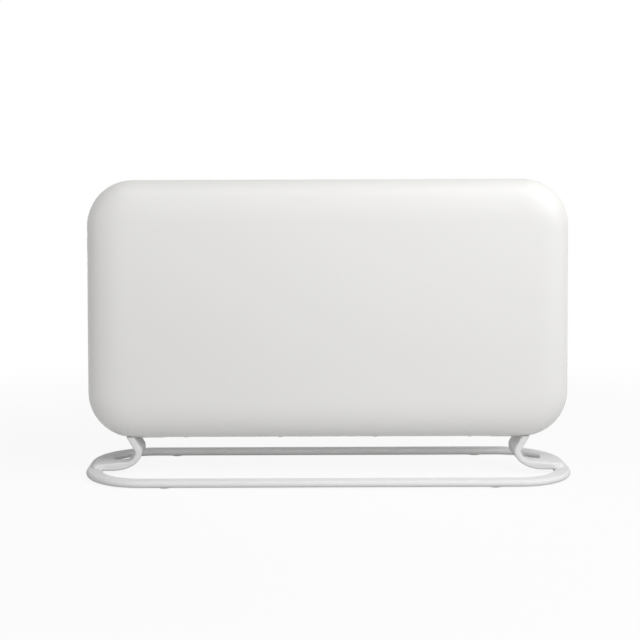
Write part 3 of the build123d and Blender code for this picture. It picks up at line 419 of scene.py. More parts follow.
SLOT_FINISHES: dict[str, PowderCoat | SheetMetal | Moulding] = {
    "casing_white": PowderCoat((0.87, 0.868, 0.858)),
    "stand_white": PowderCoat((0.88, 0.882, 0.89), roughness=0.6, specular=0.0, coat=0.0),
    "zinc_steel": SheetMetal((0.56, 0.57, 0.58), roughness=0.42),
    "screw_steel": SheetMetal((0.52, 0.53, 0.55), roughness=0.34, lines_per_metre=300.0),
    "sheath_steel": SheetMetal((0.34, 0.31, 0.29), roughness=0.42),
    "fin_aluminium": SheetMetal((0.74, 0.74, 0.75), roughness=0.38),
    "shield_aluminium": SheetMetal((0.88, 0.88, 0.89), roughness=0.2),
    "ceramic": Moulding((0.84, 0.81, 0.74), roughness=0.25, coat=0.6),
    "brass": SheetMetal((0.80, 0.62, 0.30), roughness=0.3),
    "tray_grey": Moulding((0.62, 0.62, 0.61), roughness=0.55, grain_depth=0.06 * MM),
    "knob_white": Moulding((0.80, 0.80, 0.79), roughness=0.32, coat=0.3),
    "switch_black": Moulding((0.035, 0.035, 0.038)),
    "rocker_black": Moulding((0.04, 0.04, 0.043), roughness=0.28, coat=0.4),
    "device_brown": Moulding((0.10, 0.055, 0.035), roughness=0.45),
    "block_white": Moulding((0.74, 0.72, 0.67)),
    "lens_amber": Moulding((0.88, 0.34, 0.05), roughness=0.12, coat=0.8),
    "pad_rubber": Moulding((0.80, 0.80, 0.79), roughness=0.8, grain_depth=0.12 * MM),
    "lead_brown": Moulding((0.16, 0.07, 0.035), roughness=0.45),
    "lead_blue": Moulding((0.04, 0.11, 0.38), roughness=0.45),
    "lead_green_yellow": Moulding((0.42, 0.52, 0.06), roughness=0.45),
}


class Wardrobe:
    """The finishes, each made once and given out by the record's slot names."""

    def __init__(self, record: dict[str, Any]) -> None:
        """Read which slot each node has.

        Args:
            record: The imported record.
        """
        self.slot_of = {part["node"]: part["material_slot"] for part in record["subparts"]}
        self.made: dict[str, bpy.types.Material] = {}

    def dress(self, piece: bpy.types.Object, slot: str) -> None:
        """Put a slot's material on a piece, made on first use.

        Args:
            piece: Object to dress.
            slot: Slot name.
        """
        if slot not in self.made:
            self.made[slot] = SLOT_FINISHES[slot].build(slot)
        piece.data.materials.clear()
        piece.data.materials.append(self.made[slot])

    def settle(
        self,
        piece: bpy.types.Object,
        slot: str,
        body: str = HEATER_BODY,
        node: str | None = None,
    ) -> None:
        """Dress a piece and say what it rides on and stands for.

        Args:
            piece: The finished piece.
            slot: Slot that it takes its finish from.
            body: Body that it rides on.
            node: CAD node that it replaces, if any.
        """
        self.dress(piece, slot)
        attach(piece, body)
        if node:
            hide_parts(node)
        LOG.info("%s: %d faces on %s", piece.name, len(piece.data.polygons), body)


# ---------------------------------------------------------------- mesh helpers
def as_mesh(form: bmesh.types.BMesh, name: str = "stamp") -> bpy.types.Mesh:
    """Turn a form into a mesh.

    Args:
        form: The form, freed here.
        name: Name of the mesh.

    Returns:
        The mesh.
    """
    mesh = bpy.data.meshes.new(name)
    form.to_mesh(mesh)
    form.free()
    return mesh


def worked_out(piece: bpy.types.Object) -> bpy.types.Mesh:
    """Work out an object's modifiers or lettering.

    Args:
        piece: The object.

    Returns:
        Its final mesh.
    """
    bpy.context.view_layer.update()
    graph = bpy.context.evaluated_depsgraph_get()
    return bpy.data.meshes.new_from_object(piece.evaluated_get(graph))


def add_mesh(form: bmesh.types.BMesh, mesh: bpy.types.Mesh, place: Matrix) -> None:
    """Add a moved copy of a mesh to a form.

    Args:
        form: Form that it joins.
        mesh: Mesh to copy.
        place: Where the copy goes.
    """
    known = len(form.verts)
    form.from_mesh(mesh)
    form.verts.ensure_lookup_table()
    bmesh.ops.transform(form, matrix=place, verts=form.verts[known:])


def repeat(master: bmesh.types.BMesh, places: list[Matrix]) -> bmesh.types.BMesh:
    """Copy a form to several places.

    Args:
        master: The form, freed here.
        places: Where each copy goes.

    Returns:
        All the copies in one form.
    """
    stamp = as_mesh(master)
    form = bmesh.new()
    for place in places:
        add_mesh(form, stamp, place)
    bpy.data.meshes.remove(stamp)
    return form


def make_piece(form: bmesh.types.BMesh, name: str, sharp_angle: float = 35.0) -> bpy.types.Object:
    """Turn a form into an object with smooth faces and sharp edges where it folds.

    Args:
        form: Finished form, freed here.
        name: Name of the piece.
        sharp_angle: Fold in degrees from which an edge stays sharp.

    Returns:
        The new object, at the origin.
    """
    bmesh.ops.recalc_face_normals(form, faces=form.faces)
    limit = math.radians(sharp_angle)
    for face in form.faces:
        face.smooth = True
    for edge in form.edges:
        edge.smooth = edge.is_manifold and edge.calc_face_angle(math.pi) < limit
    piece = bpy.data.objects.new(name, as_mesh(form, name))
    bpy.context.scene.collection.objects.link(piece)
    return piece


def merged(node: str) -> bmesh.types.BMesh:
    """Copy a CAD node's mesh and join its loose triangles.

    Args:
        node: Name of the CAD node.

    Returns:
        The joined copy.
    """
    form = bmesh.new()
    form.from_mesh(frame["nodes"][node].data)
    bmesh.ops.remove_doubles(form, verts=form.verts, dist=MERGE_DISTANCE)
    return form


def solid_boxes(node: str) -> list[Box]:
    """Box each separate solid in a CAD node.

    Args:
        node: Name of the CAD node.

    Returns:
        Lowest and highest corners, in order of their place.
    """
    form = merged(node)
    waiting = set(form.verts)
    boxes = []
    while waiting:
        front = [waiting.pop()]
        low, high = front[0].co.copy(), front[0].co.copy()
        while front:
            vertex = front.pop()
            low = Vector(map(min, low, vertex.co))
            high = Vector(map(max, high, vertex.co))
            for edge in vertex.link_edges:
                other = edge.other_vert(vertex)
                if other in waiting:
                    waiting.discard(other)
                    front.append(other)
        boxes.append((low, high))
    form.free()
    return sorted(boxes, key=lambda box: tuple(round(value, PLACE_DIGITS) for value in box[0]))


def side_middle(box: Box, outward: Vector) -> Vector:
    """Find the middle of one side of a box.

    Args:
        box: Lowest and highest corners.
        outward: Axis direction that the side looks in.

    Returns:
        The side's middle.
    """
    low, high = box
    return (low + high) / 2 + (high - low) * outward / 2


def aim(outward: Vector, place: Vector) -> Matrix:
    """Matrix that turns +Z to a direction and moves the origin to a place."""
    turn = Vector((0, 0, 1)).rotation_difference(outward).to_matrix().to_4x4()
    return Matrix.Translation(place) @ turn


def arc(middle: tuple[float, float], radius: float, start: float, end: float) -> Outline:
    """Work out the points of a round edge in a profile, without its first.

    Args:
        middle: Distance from the axis and height of the arc's middle.
        radius: Radius of the edge.
        start: Angle of its start in degrees, 0 for outwards and 90 for up.
        end: Angle of its end in degrees.

    Returns:
        Radius and height of each point.
    """
    across, up = middle
    points = []
    for step in range(1, ROUND_STEPS + 1):
        angle = math.radians(start + (end - start) * step / ROUND_STEPS)
        points.append((across + radius * math.cos(angle), up + radius * math.sin(angle)))
    return tuple(points)


def spun(profile: Outline, steps: int, closed: bool = False) -> bmesh.types.BMesh:
    """Spin a profile round the Z axis.

    Args:
        profile: Radius and height of each point.
        steps: Steps of the full turn.
        closed: Whether the last point joins the first.

    Returns:
        The turned form.
    """
    form = bmesh.new()
    points = [form.verts.new((radius, 0, height)) for radius, height in profile]
    lines = [form.edges.new(pair) for pair in zip(points, points[1:])]
    if closed:
        lines.append(form.edges.new((points[-1], points[0])))
    bmesh.ops.spin(
        form,
        geom=points + lines,
        cent=(0, 0, 0),
        axis=(0, 0, 1),
        angle=math.tau,
        steps=steps,
        use_merge=True,
    )
    bmesh.ops.remove_doubles(form, verts=form.verts, dist=MERGE_DISTANCE)
    return form


def flute(
    form: bmesh.types.BMesh,
    count: int,
    inner: float,
    span: tuple[float, float],
    cut: Callable[[float], float],
) -> None:
    """Press flutes into the outside of a form that was spun round the Z axis.

    Args:
        form: The spun form.
        count: Flutes on the full turn.
        inner: Radius outside which points are moved.
        span: Heights between which points are moved.
        cut: Share of the radius to take off, from a wave of -1 to 1 along each flute.
    """
    for vertex in form.verts:
        across, deep, height = vertex.co
        if math.hypot(across, deep) > inner and span[0] < height < span[1]:
            share = 1 - cut(math.cos(count * math.atan2(deep, across)))
            vertex.co.x *= share
            vertex.co.y *= share


def plate(width: float, height: float, corner: float = 0.0, steps: int = 1) -> bmesh.types.BMesh:
    """Lay a flat rectangle in the XY plane, facing +Z.

    Args:
        width: Width along X.
        height: Height along Y.
        corner: Radius of its corners, 0 for sharp ones.
        steps: Steps of each round corner.

    Returns:
        The rectangle.
    """
    form = bmesh.new()
    bmesh.ops.create_grid(form, x_segments=1, y_segments=1, size=0.5)
    bmesh.ops.transform(form, matrix=Matrix.Diagonal((width, height, 1, 1)), verts=form.verts)
    if corner:
        soften(form, form.verts[:], Rounded.CORNERS, corner, steps)
    return form


class Rounded(Enum):
    """What a rounding takes off."""

    CORNERS = "VERTICES"
    EDGES = "EDGES"


def soften(
    form: bmesh.types.BMesh, geom: list[Any], what: Rounded, width: float, steps: int
) -> None:
    """Round some corners or edges of a form.

    Args:
        form: The form.
        geom: Its points or edges to round.
        what: Whether they are points or edges.
        width: Width of the rounding.
        steps: Steps of the rounding.
    """
    bmesh.ops.bevel(
        form,
        geom=geom,
        offset=width,
        offset_type="OFFSET",
        affect=what.value,
        segments=steps,
        profile=0.5,
        material=-1,
    )


def pull(form: bmesh.types.BMesh, move: Triple) -> bmesh.types.BMFace:
    """Extrude all faces of a flat form, which keeps the first ones as its back.

    Args:
        form: The flat form.
        move: How far, along each axis.

    Returns:
        One of the moved faces.
    """
    grown = bmesh.ops.extrude_face_region(form, geom=form.faces[:])["geom"]
    lid = [item for item in grown if isinstance(item, bmesh.types.BMVert)]
    bmesh.ops.translate(form, vec=move, verts=lid)
    return next(item for item in grown if isinstance(item, bmesh.types.BMFace))


# ---------------------------------------------------------------- casing, stand and mouldings
class Part:
    """A sub-assembly that builds its own meshes and dresses them."""

    def build(self, wardrobe: Wardrobe) -> None:
        """Make the part.

        Args:
            wardrobe: Finishes by slot.
        """
        raise NotImplementedError


@dataclass(frozen=True)
class SmoothPiece(Part):
    """A CAD node's own shape, with smooth curves and softened edges."""

    node: str
    body: str = HEATER_BODY
    edge: float = 0.0
    edge_steps: int = 2
    edge_fold: float = 40.0

    def build(self, wardrobe: Wardrobe) -> None:
        """Make the piece, with rounded edges where their width isn't 0.

        Args:
            wardrobe: Finishes by slot.
        """
        form = merged(self.node)
        if self.edge:
            inner = [side for side in form.edges if side.is_manifold]
            flat = [side for side in inner if side.calc_face_angle(0) < FLAT_FOLD]
            bmesh.ops.dissolve_edges(form, edges=flat, use_verts=True)
        piece = make_piece(form, f"{self.node}_skin")
        if self.edge:
            rounding = piece.modifiers.new("soft_edges", "BEVEL")
            rounding.width = self.edge
            rounding.segments = self.edge_steps
            rounding.limit_method = "ANGLE"
            rounding.angle_limit = math.radians(self.edge_fold)
            rounding.harden_normals = True
        wardrobe.settle(piece, wardrobe.slot_of[self.node], self.body, self.node)


@dataclass(frozen=True)
class FrontPanel(Part):
    """Deep-drawn panel, a rounded rectangle whose edge rolls softly into a slightly domed face."""

    corner_radius: float = 58 * MM
    corner_steps: int = 24
    straight_depth: float = 4 * MM
    roll_width: float = 50 * MM
    roll_power: float = 2.4
    roll_steps: int = 26
    crown: float = 1.2 * MM
    crown_cuts: tuple[int, int] = (15, 9)
    sheet: float = 1.2 * MM
    sharp_angle: float = 60.0

    def roll(self, depth: float) -> Outline:
        """Work out the rolled edge, with its rings closest near the outline.

        Args:
            depth: Full depth of the roll.

        Returns:
            Distance in from the outline and depth of each ring.
        """
        rings = [(0.0, self.straight_depth)]
        for step in range(1, self.roll_steps + 1):
            inset = self.roll_width * (1 - math.cos(math.pi / 2 * step / self.roll_steps))
            rest = max(0.0, 1.0 - inset / self.roll_width)
            share = (1.0 - rest**self.roll_power) ** (1.0 / self.roll_power)
            rings.append((inset, self.straight_depth + depth * share))
        return tuple(rings)

    def build(self, wardrobe: Wardrobe) -> None:
        """Make the panel.

        Args:
            wardrobe: Finishes by slot.
        """
        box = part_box("front_panel")
        size = box[1] - box[0]
        form = plate(size.x, size.z, self.corner_radius, self.corner_steps)
        upright = Matrix.Rotation(math.radians(90), 4, "X")
        place = Matrix.Translation(side_middle(box, BACK))
        bmesh.ops.transform(form, matrix=place @ upright, verts=form.verts)
        rear = form.faces[:]
        front = pull(form, (0, -self.straight_depth, 0))
        bmesh.ops.delete(form, geom=rear, context="FACES_ONLY")
        rings = self.roll(size.y - self.straight_depth)
        for (last_inset, last_depth), (inset, depth) in zip(rings, rings[1:]):
            bmesh.ops.inset_region(
                form,
                faces=[front],
                thickness=inset - last_inset,
                depth=depth - last_depth,
                use_boundary=True,
                use_even_offset=True,
            )
        self.dome(form, box)
        piece = make_piece(form, "front_panel_skin", self.sharp_angle)
        wall = piece.modifiers.new("wall", "SOLIDIFY")
        wall.thickness = self.sheet
        wall.offset = -1.0
        wardrobe.settle(piece, "casing_white", node="front_panel")

    def dome(self, form: bmesh.types.BMesh, box: Box) -> None:
        """Cut the face into a lattice and push its middle out a little.

        Args:
            form: The panel so far.
            box: Lowest and highest corners of the panel.
        """
        low, high = box
        axes = ((Vector((1, 0, 0)), self.crown_cuts[0]), (Vector((0, 0, 1)), self.crown_cuts[1]))
        for axis, count in axes:
            for cut in range(1, count + 1):
                point = low + (high - low) * (cut / (count + 1))
                everything = form.verts[:] + form.edges[:] + form.faces[:]
                bmesh.ops.bisect_plane(form, geom=everything, plane_co=point, plane_no=axis)
        middle = (low + high) / 2
        half = (high - low) / 2
        for vertex in form.verts:
            across = (vertex.co.x - middle.x) / half.x
            up = (vertex.co.z - middle.z) / half.z
            forward = (high.y - vertex.co.y) / (high.y - low.y)
            vertex.co.y -= self.crown * (1 - across**2) * (1 - up**2) * forward


# ---------------------------------------------------------------- fasteners, pads and inserts
@dataclass(frozen=True)
class ScrewSet(Part):
    """All the screws of one CAD node, each with a cross recess in its head."""

    node: str
    outward: Vector
    head_radius: float
    head_height: float
    shank_radius: float
    countersunk: bool = False
    head_slope: float = 0.02
    tip: float = 0.3 * MM
    recess_depth: float = 1.6 * MM
    recess_depth_share: float = 0.45
    recess_length: float = 1.12
    recess_width: float = 0.24
    recess_taper: tuple[float, float] = (0.45, 0.7)
    first_turn: float = 0.3
    turn_between: float = 0.55
    steps: int = 32
    sharp_angle: float = 30.0

    def profile(self, length: float) -> Outline:
        """Half outline of a screw whose head top is at height 0.

        Args:
            length: Length from the head's top to the tip.

        Returns:
            Radius and height of each point.
        """
        radius, height, shank = self.head_radius, self.head_height, self.shank_radius
        if self.countersunk:
            head = ((0.0, 0.0), (radius, 0.0), (shank, shank - radius))
        else:
            edge = height / 2
            crown = ((0.0, 0.0), (radius - edge, -self.head_slope * height))
            rim = arc((radius - edge, -edge), edge, 90, 0)
            head = (*crown, *rim, (radius, -height), (shank, -height))
        return (*head, (shank, self.tip - length), (shank - self.tip, -length), (0.0, -length))

    def cutter(self, turn: float) -> bpy.types.Object:
        """One arm of the cross recess.

        Args:
            turn: Angle of the arm.

        Returns:
            The tapered bar that cuts it.
        """
        depth = min(self.recess_depth, self.head_radius * self.recess_depth_share)
        length, width = self.head_radius * self.recess_length, self.head_radius * self.recess_width
        form = bmesh.new()
        bmesh.ops.create_cube(form, size=1.0)
        for vertex in form.verts:
            if vertex.co.z < 0:
                vertex.co.x *= self.recess_taper[0]
                vertex.co.y *= self.recess_taper[1]
        size = Matrix.Diagonal((length, width, 2 * depth, 1))
        bmesh.ops.transform(form, matrix=Matrix.Rotation(turn, 4, "Z") @ size, verts=form.verts)
        return make_piece(form, "cutter")

    def build(self, wardrobe: Wardrobe) -> None:
        """Make the screws.

        Args:
            wardrobe: Finishes by slot.
        """
        boxes = solid_boxes(self.node)
        length = abs((boxes[0][1] - boxes[0][0]).dot(self.outward))
        blank = make_piece(spun(self.profile(length), self.steps), "screw_blank")
        cutters = [self.cutter(turn) for turn in (0.0, math.pi / 2)]
        for cutter in cutters:
            recess = blank.modifiers.new("recess", "BOOLEAN")
            recess.operation = "DIFFERENCE"
            recess.solver = "EXACT"
            recess.object = cutter
        mesh = worked_out(blank)
        for tool in (blank, *cutters):
            bpy.data.meshes.remove(tool.data)
        form = bmesh.new()
        for index, (low, high) in enumerate(boxes):
            top = (low + high) / 2 + self.outward * length / 2
            spin = Matrix.Rotation(self.first_turn + self.turn_between * index, 4, "Z")
            add_mesh(form, mesh, aim(self.outward, top) @ spin)
        bpy.data.meshes.remove(mesh)
        piece = make_piece(form, f"{self.node}_cross_headed", self.sharp_angle)
        wardrobe.settle(piece, wardrobe.slot_of[self.node], node=self.node)


@dataclass(frozen=True)
class FloorPads(Part):
    """Rubber pads under the loop, each with a rounded rim and ring grooves in its sole."""

    radius: float = 7.0 * MM
    sole: float = 1.0 * MM
    rim: float = 0.35 * MM
    rim_foot: tuple[float, float] = (0.1 * MM, 0.14 * MM)
    plug_radius: float = 2.4 * MM
    groove_places: tuple[float, float] = (0.3, 0.62)
    groove: float = 0.3 * MM
    groove_mouth: float = 0.5 * MM
    groove_floor: float = 0.25 * MM
    steps: int = 48

    def build(self, wardrobe: Wardrobe) -> None:
        """Make the pads.

        Args:
            wardrobe: Finishes by slot.
        """
        boxes = solid_boxes("floor_pads")
        height = boxes[0][1].z - boxes[0][0].z
        rim = self.rim
        profile = [(0.0, 0.0)]
        for middle in (self.radius * share for share in self.groove_places):
            profile += [
                (middle - self.groove_mouth, 0.0),
                (middle - self.groove_floor, self.groove),
                (middle + self.groove_floor, self.groove),
                (middle + self.groove_mouth, 0.0),
            ]
        profile += [
            (self.radius - rim, 0.0),
            (self.radius - self.rim_foot[0], self.rim_foot[1]),
            (self.radius, rim),
            (self.radius, self.sole - rim / 2),
            (self.radius - rim / 2, self.sole),
            (self.plug_radius, self.sole),
            (self.plug_radius, height - rim),
            (self.plug_radius - rim, height),
            (0.0, height),
        ]
        places = [Matrix.Translation(side_middle(box, DOWN)) for box in boxes]
        piece = make_piece(repeat(spun(profile, self.steps), places), "floor_pads_grooved")
        wardrobe.settle(piece, "pad_rubber", node="floor_pads")


@dataclass(frozen=True)
class WallInserts(Part):
    """Threaded inserts in the rear wall, with a turned flange, a plain body and a thread."""

    flange_radius: float = 5.5 * MM
    flange: float = 0.8 * MM
    body_radius: float = 3.6 * MM
    bore_radius: float = 2.5 * MM
    chamfer: float = 0.3 * MM
    thread_depth: float = 0.35 * MM
    thread_pitch: float = 0.8 * MM
    steps: int = 40

    def build(self, wardrobe: Wardrobe) -> None:
        """Make the inserts.

        Args:
            wardrobe: Finishes by slot.
        """
        boxes = solid_boxes("wall_rivet_nuts")
        length = boxes[0][1].y - boxes[0][0].y
        profile = [
            (self.bore_radius + self.chamfer, 0.0),
            (self.flange_radius - self.chamfer, 0.0),
            (self.flange_radius, -self.chamfer),
            (self.flange_radius, -self.flange),
            (self.body_radius, -self.flange),
            (self.body_radius, -length),
            (self.bore_radius, -length),
        ]
        turns = int((length - 2 * self.chamfer) / self.thread_pitch)
        for turn in range(turns, 0, -1):
            crest = -self.chamfer - turn * self.thread_pitch
            profile.append((self.bore_radius, crest))
            profile.append((self.bore_radius + self.thread_depth, crest + self.thread_pitch / 2))
        profile.append((self.bore_radius, -self.chamfer))
        places = [aim(BACK, side_middle(box, BACK)) for box in boxes]
        form = repeat(spun(profile, self.steps, closed=True), places)
        piece = make_piece(form, "wall_inserts_threaded")
        wardrobe.settle(piece, "zinc_steel", node="wall_rivet_nuts")


@dataclass(frozen=True)
class CordGland(Part):
    """Moulded cord gland in the rear wall, with a fluted flange and a ringed neck."""

    radius: float = 6.0 * MM
    bore_radius: float = 3.7 * MM
    flange_radius: float = 9.0 * MM
    flange: float = 2.5 * MM
    edge: float = 0.4 * MM
    collar: float = 7.0 * MM
    lip: float = 1.2 * MM
    rings: int = 4
    # Each point of a ring: how far in it lies, and its share of the ring's length.
    ring_outline: Outline = (
        (0.0, 0.0), (0.1 * MM, 0.55), (0.55 * MM, 0.65), (0.6 * MM, 0.95),
    )
    flutes: int = 18
    flute_share: float = 0.045
    steps: int = 144

    def build(self, wardrobe: Wardrobe) -> None:
        """Make the gland.

        Args:
            wardrobe: Finishes by slot.
        """
        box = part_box("mains_gland")
        length = box[1].y - box[0].y
        wall = self.collar + self.flange
        lip_radius = self.bore_radius + self.lip
        profile = [
            (self.bore_radius, -length),
            (self.radius, -length),
            (self.radius, -wall),
            (self.flange_radius, -wall),
            (self.flange_radius, -self.collar - self.edge),
            (self.flange_radius - self.edge, -self.collar),
        ]
        step = self.collar / self.rings
        for ring in range(self.rings):
            outer = self.radius + (lip_radius - self.radius) * ring / self.rings
            start = ring * step - self.collar
            profile += [(outer - inset, start + step * share) for inset, share in self.ring_outline]
        profile += [
            (lip_radius - self.edge, -self.edge / 2),
            (self.bore_radius + self.edge, 0.0),
            (self.bore_radius, -self.edge),
        ]
        form = spun(profile, self.steps, closed=True)
        flute(
            form,
            self.flutes,
            self.radius + MM,
            (-length, 0.0),
            lambda wave: self.flute_share * max(0.0, wave),
        )
        bmesh.ops.transform(form, matrix=aim(BACK, side_middle(box, BACK)), verts=form.verts)
        piece = make_piece(form, "mains_gland_fluted")
        wardrobe.settle(piece, "switch_black", node="mains_gland")


# ---------------------------------------------------------------- controls
@dataclass(frozen=True)
class ThermostatKnob(Part):
    """Knob with a fluted rim, a grip bar over a round hub, and a dark pointer line in the bar."""

    disc_height: float = 7.5 * MM
    pocket_depth: float = 4.0 * MM
    pocket_radius: float = 8.5 * MM
    foot_edge: float = 0.3 * MM
    rim_edge: float = 1.0 * MM
    # How far in from the rim the face starts to dip, and where it is down.
    face_dip_places: tuple[float, float, float] = (1.8 * MM, 2.1 * MM, 2.6 * MM)
    face_dip: float = 0.25 * MM
    hub_radius: float = 4.4 * MM
    hub_height: float = 3.5 * MM
    hub_foot: tuple[float, float] = (0.4 * MM, 0.15 * MM)
    hub_edge: float = 0.5 * MM
    hub_edge_middle: float = 0.15 * MM
    flutes: int = 30
    flute_depth: float = 0.35 * MM
    flute_reach: float = 0.5 * MM
    flute_start: float = 0.6 * MM
    flute_end: float = 0.8 * MM
    steps: int = 180
    grip_width: float = 4.0 * MM
    grip_length: float = 18.0 * MM
    grip_edge: float = 0.9 * MM
    grip_sunk: float = 0.6 * MM
    pointer_width: float = 0.9 * MM
    pointer_span: tuple[float, float] = (3.4 * MM, 8.2 * MM)
    pointer_sunk: float = 0.4 * MM
    pointer_proud: float = 0.06 * MM
    pointer_edge: float = 0.03 * MM
    end_share: float = 0.499
    end_steps: int = 10
    end_merge: float = 0.004
    edge_steps: int = 4
    sharp_angle: float = 30.0

    def disc(self, radius: float) -> bmesh.types.BMesh:
        """Round body with its pocket, rim and hub.

        Args:
            radius: Radius of the rim.

        Returns:
            The body.
        """
        top, edge, hub = self.disc_height, self.rim_edge, self.hub_radius
        start, middle, end = self.face_dip_places
        hub_top = top + self.hub_height
        profile = [
            (0.0, self.pocket_depth),
            (self.pocket_radius, self.pocket_depth),
            (self.pocket_radius, 0.0),
            (radius - self.foot_edge, 0.0),
            (radius, self.foot_edge),
            (radius, top - edge),
            *arc((radius - edge, top - edge), edge, 0, 90),
            (radius - start, top),
            (radius - middle, top - self.face_dip),
            (radius - end, top - self.face_dip),
            (hub + self.hub_foot[0], top - self.face_dip),
            (hub, top + self.hub_foot[1]),
            (hub, hub_top - self.hub_edge),
            (hub - self.hub_edge_middle, hub_top - self.hub_edge_middle),
            (hub - self.hub_edge, hub_top),
            (0.0, hub_top),
        ]
        form = spun(profile, self.steps)
        flute(
            form,
            self.flutes,
            radius - self.flute_reach,
            (self.flute_start, top - self.flute_end),
            lambda wave: self.flute_depth / radius * (0.5 - 0.5 * wave),
        )
        return form

    def bar(
        self, width: float, length: float, low: float, high: float, edge: float
    ) -> bmesh.types.BMesh:
        """Bar with round ends and rounded top edges, along the local Y axis.

        Args:
            width: Width of the bar.
            length: Length over the round ends.
            low: Height of its foot.
            high: Height of its top.
            edge: Rounding of the top edges.

        Returns:
            The bar.
        """
        form = plate(width, length, width * self.end_share, self.end_steps)
        bmesh.ops.remove_doubles(form, verts=form.verts, dist=self.end_merge * width)
        bmesh.ops.translate(form, vec=(0, 0, low), verts=form.verts)
        pull(form, (0, 0, high - low))
        middle = (low + high) / 2
        rims = [side for side in form.edges if all(end.co.z > middle for end in side.verts)]
        soften(form, rims, Rounded.EDGES, edge, self.edge_steps)
        return form

    def build(self, wardrobe: Wardrobe) -> None:
        """Make the knob and its pointer line.

        Args:
            wardrobe: Finishes by slot.
        """
        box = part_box("thermostat_knob")
        height, radius = box[1].x - box[0].x, (box[1].z - box[0].z) / 2
        place = Matrix.Translation(side_middle(box, -RIGHT)) @ TO_SIDE
        form = self.disc(radius)
        foot = self.disc_height - self.grip_sunk
        grip = self.bar(self.grip_width, self.grip_length, foot, height, self.grip_edge)
        stamp = as_mesh(grip)
        add_mesh(form, stamp, Matrix.Identity(4))
        bpy.data.meshes.remove(stamp)
        bmesh.ops.transform(form, matrix=place, verts=form.verts)
        knob = make_piece(form, "thermostat_knob_fluted", self.sharp_angle)
        wardrobe.settle(knob, "knob_white", "knob", "thermostat_knob")
        start, end = self.pointer_span
        low, high = height - self.pointer_sunk, height + self.pointer_proud
        line = self.bar(self.pointer_width, end - start, low, high, self.pointer_edge)
        bmesh.ops.translate(line, vec=(0, (start + end) / 2, 0), verts=line.verts)
        bmesh.ops.transform(line, matrix=place, verts=line.verts)
        wardrobe.settle(make_piece(line, "knob_pointer"), "rocker_black", "knob")


@dataclass(frozen=True)
class DialScale(Part):
    """Plain numbers and dots printed on the tray round the knob."""

    numbers: int = 6
    dots_between: int = 1
    first_angle: float = 60.0
    sweep: float = 300.0
    ring_radius: float = 13.3 * MM
    number_size: float = 2.5 * MM
    number_steps: int = 4
    dot_radius: float = 0.28 * MM
    dot_steps: int = 16
    print_height: float = 0.05 * MM

    def number(self, digit: str) -> bpy.types.Mesh:
        """One number, lying in the XY plane.

        Args:
            digit: The number.

        Returns:
            Its mesh.
        """
        letters = bpy.data.curves.new("digit", "FONT")
        letters.body = digit
        letters.size = self.number_size
        letters.align_x = "CENTER"
        letters.align_y = "CENTER"
        letters.extrude = self.print_height
        letters.resolution_u = self.number_steps
        sign = bpy.data.objects.new("digit", letters)
        bpy.context.scene.collection.objects.link(sign)
        mesh = worked_out(sign)
        bpy.data.objects.remove(sign)
        bpy.data.curves.remove(letters)
        return mesh

    def dot(self) -> bpy.types.Mesh:
        """One round dot, lying in the XY plane.

        Returns:
            Its mesh.
        """
        form = bmesh.new()
        bmesh.ops.create_circle(
            form, cap_ends=True, segments=self.dot_steps, radius=self.dot_radius
        )
        pull(form, (0, 0, self.print_height))
        return as_mesh(form)

    def build(self, wardrobe: Wardrobe) -> None:
        """Make the scale.

        Args:
            wardrobe: Finishes by slot.
        """
        low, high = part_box("thermostat_knob")
        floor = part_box("thermostat_nut")[0].x
        centre = Vector((floor, (low.y + high.y) / 2, (low.z + high.z) / 2))
        form = bmesh.new()
        spacing = self.dots_between + 1
        marks = self.numbers * spacing
        for mark in range(marks + 1):
            angle = math.radians(self.first_angle + self.sweep * mark / marks)
            offset = Vector((0, math.sin(angle), math.cos(angle))) * self.ring_radius
            stamp = self.dot() if mark % spacing else self.number(str(mark // spacing))
            add_mesh(form, stamp, Matrix.Translation(centre + offset) @ TO_SIDE)
            bpy.data.meshes.remove(stamp)
        wardrobe.settle(make_piece(form, "dial_scale"), "rocker_black")


@dataclass(frozen=True)
class IndicatorLens(Part):
    """Amber lens with a domed face and fine rings inside its rim."""

    radius: float = 2.5 * MM
    flange_radius: float = 3.6 * MM
    flange: float = 1.0 * MM
    # Each point of the rim: how far in it lies, and how far below the face.
    rim_outline: Outline = ((0.0, 0.45 * MM), (0.25 * MM, 0.15 * MM), (0.6 * MM, 0.1 * MM))
    rings: int = 5
    ring_inset: float = 0.8 * MM
    ring_depth: float = 0.35 * MM
    ring_share: float = 0.7
    ring_drop: float = 0.05 * MM
    steps: int = 48
    sharp_angle: float = 25.0

    def build(self, wardrobe: Wardrobe) -> None:
        """Make the lens.

        Args:
            wardrobe: Finishes by slot.
        """
        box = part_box("indicator_lens")
        length = box[1].x - box[0].x
        profile = [(0.0, -length), (self.radius, -length), (self.radius, -self.flange)]
        profile.append((self.flange_radius, -self.flange))
        profile += [(self.flange_radius - inset, -drop) for inset, drop in self.rim_outline]
        widest = self.flange_radius - self.ring_inset
        for ring in range(self.rings):
            profile.append((widest * (1 - ring / self.rings), -self.ring_depth))
            inner = widest * (1 - (ring + self.ring_share) / self.rings)
            profile.append((inner, -self.ring_drop * ring / self.rings))
        profile.append((0.0, 0.0))
        form = spun(profile, self.steps)
        place = Matrix.Translation(side_middle(box, RIGHT)) @ TO_SIDE
        bmesh.ops.transform(form, matrix=place, verts=form.verts)
        piece = make_piece(form, "indicator_lens_ringed", self.sharp_angle)
        wardrobe.settle(piece, "lens_amber", node="indicator_lens")


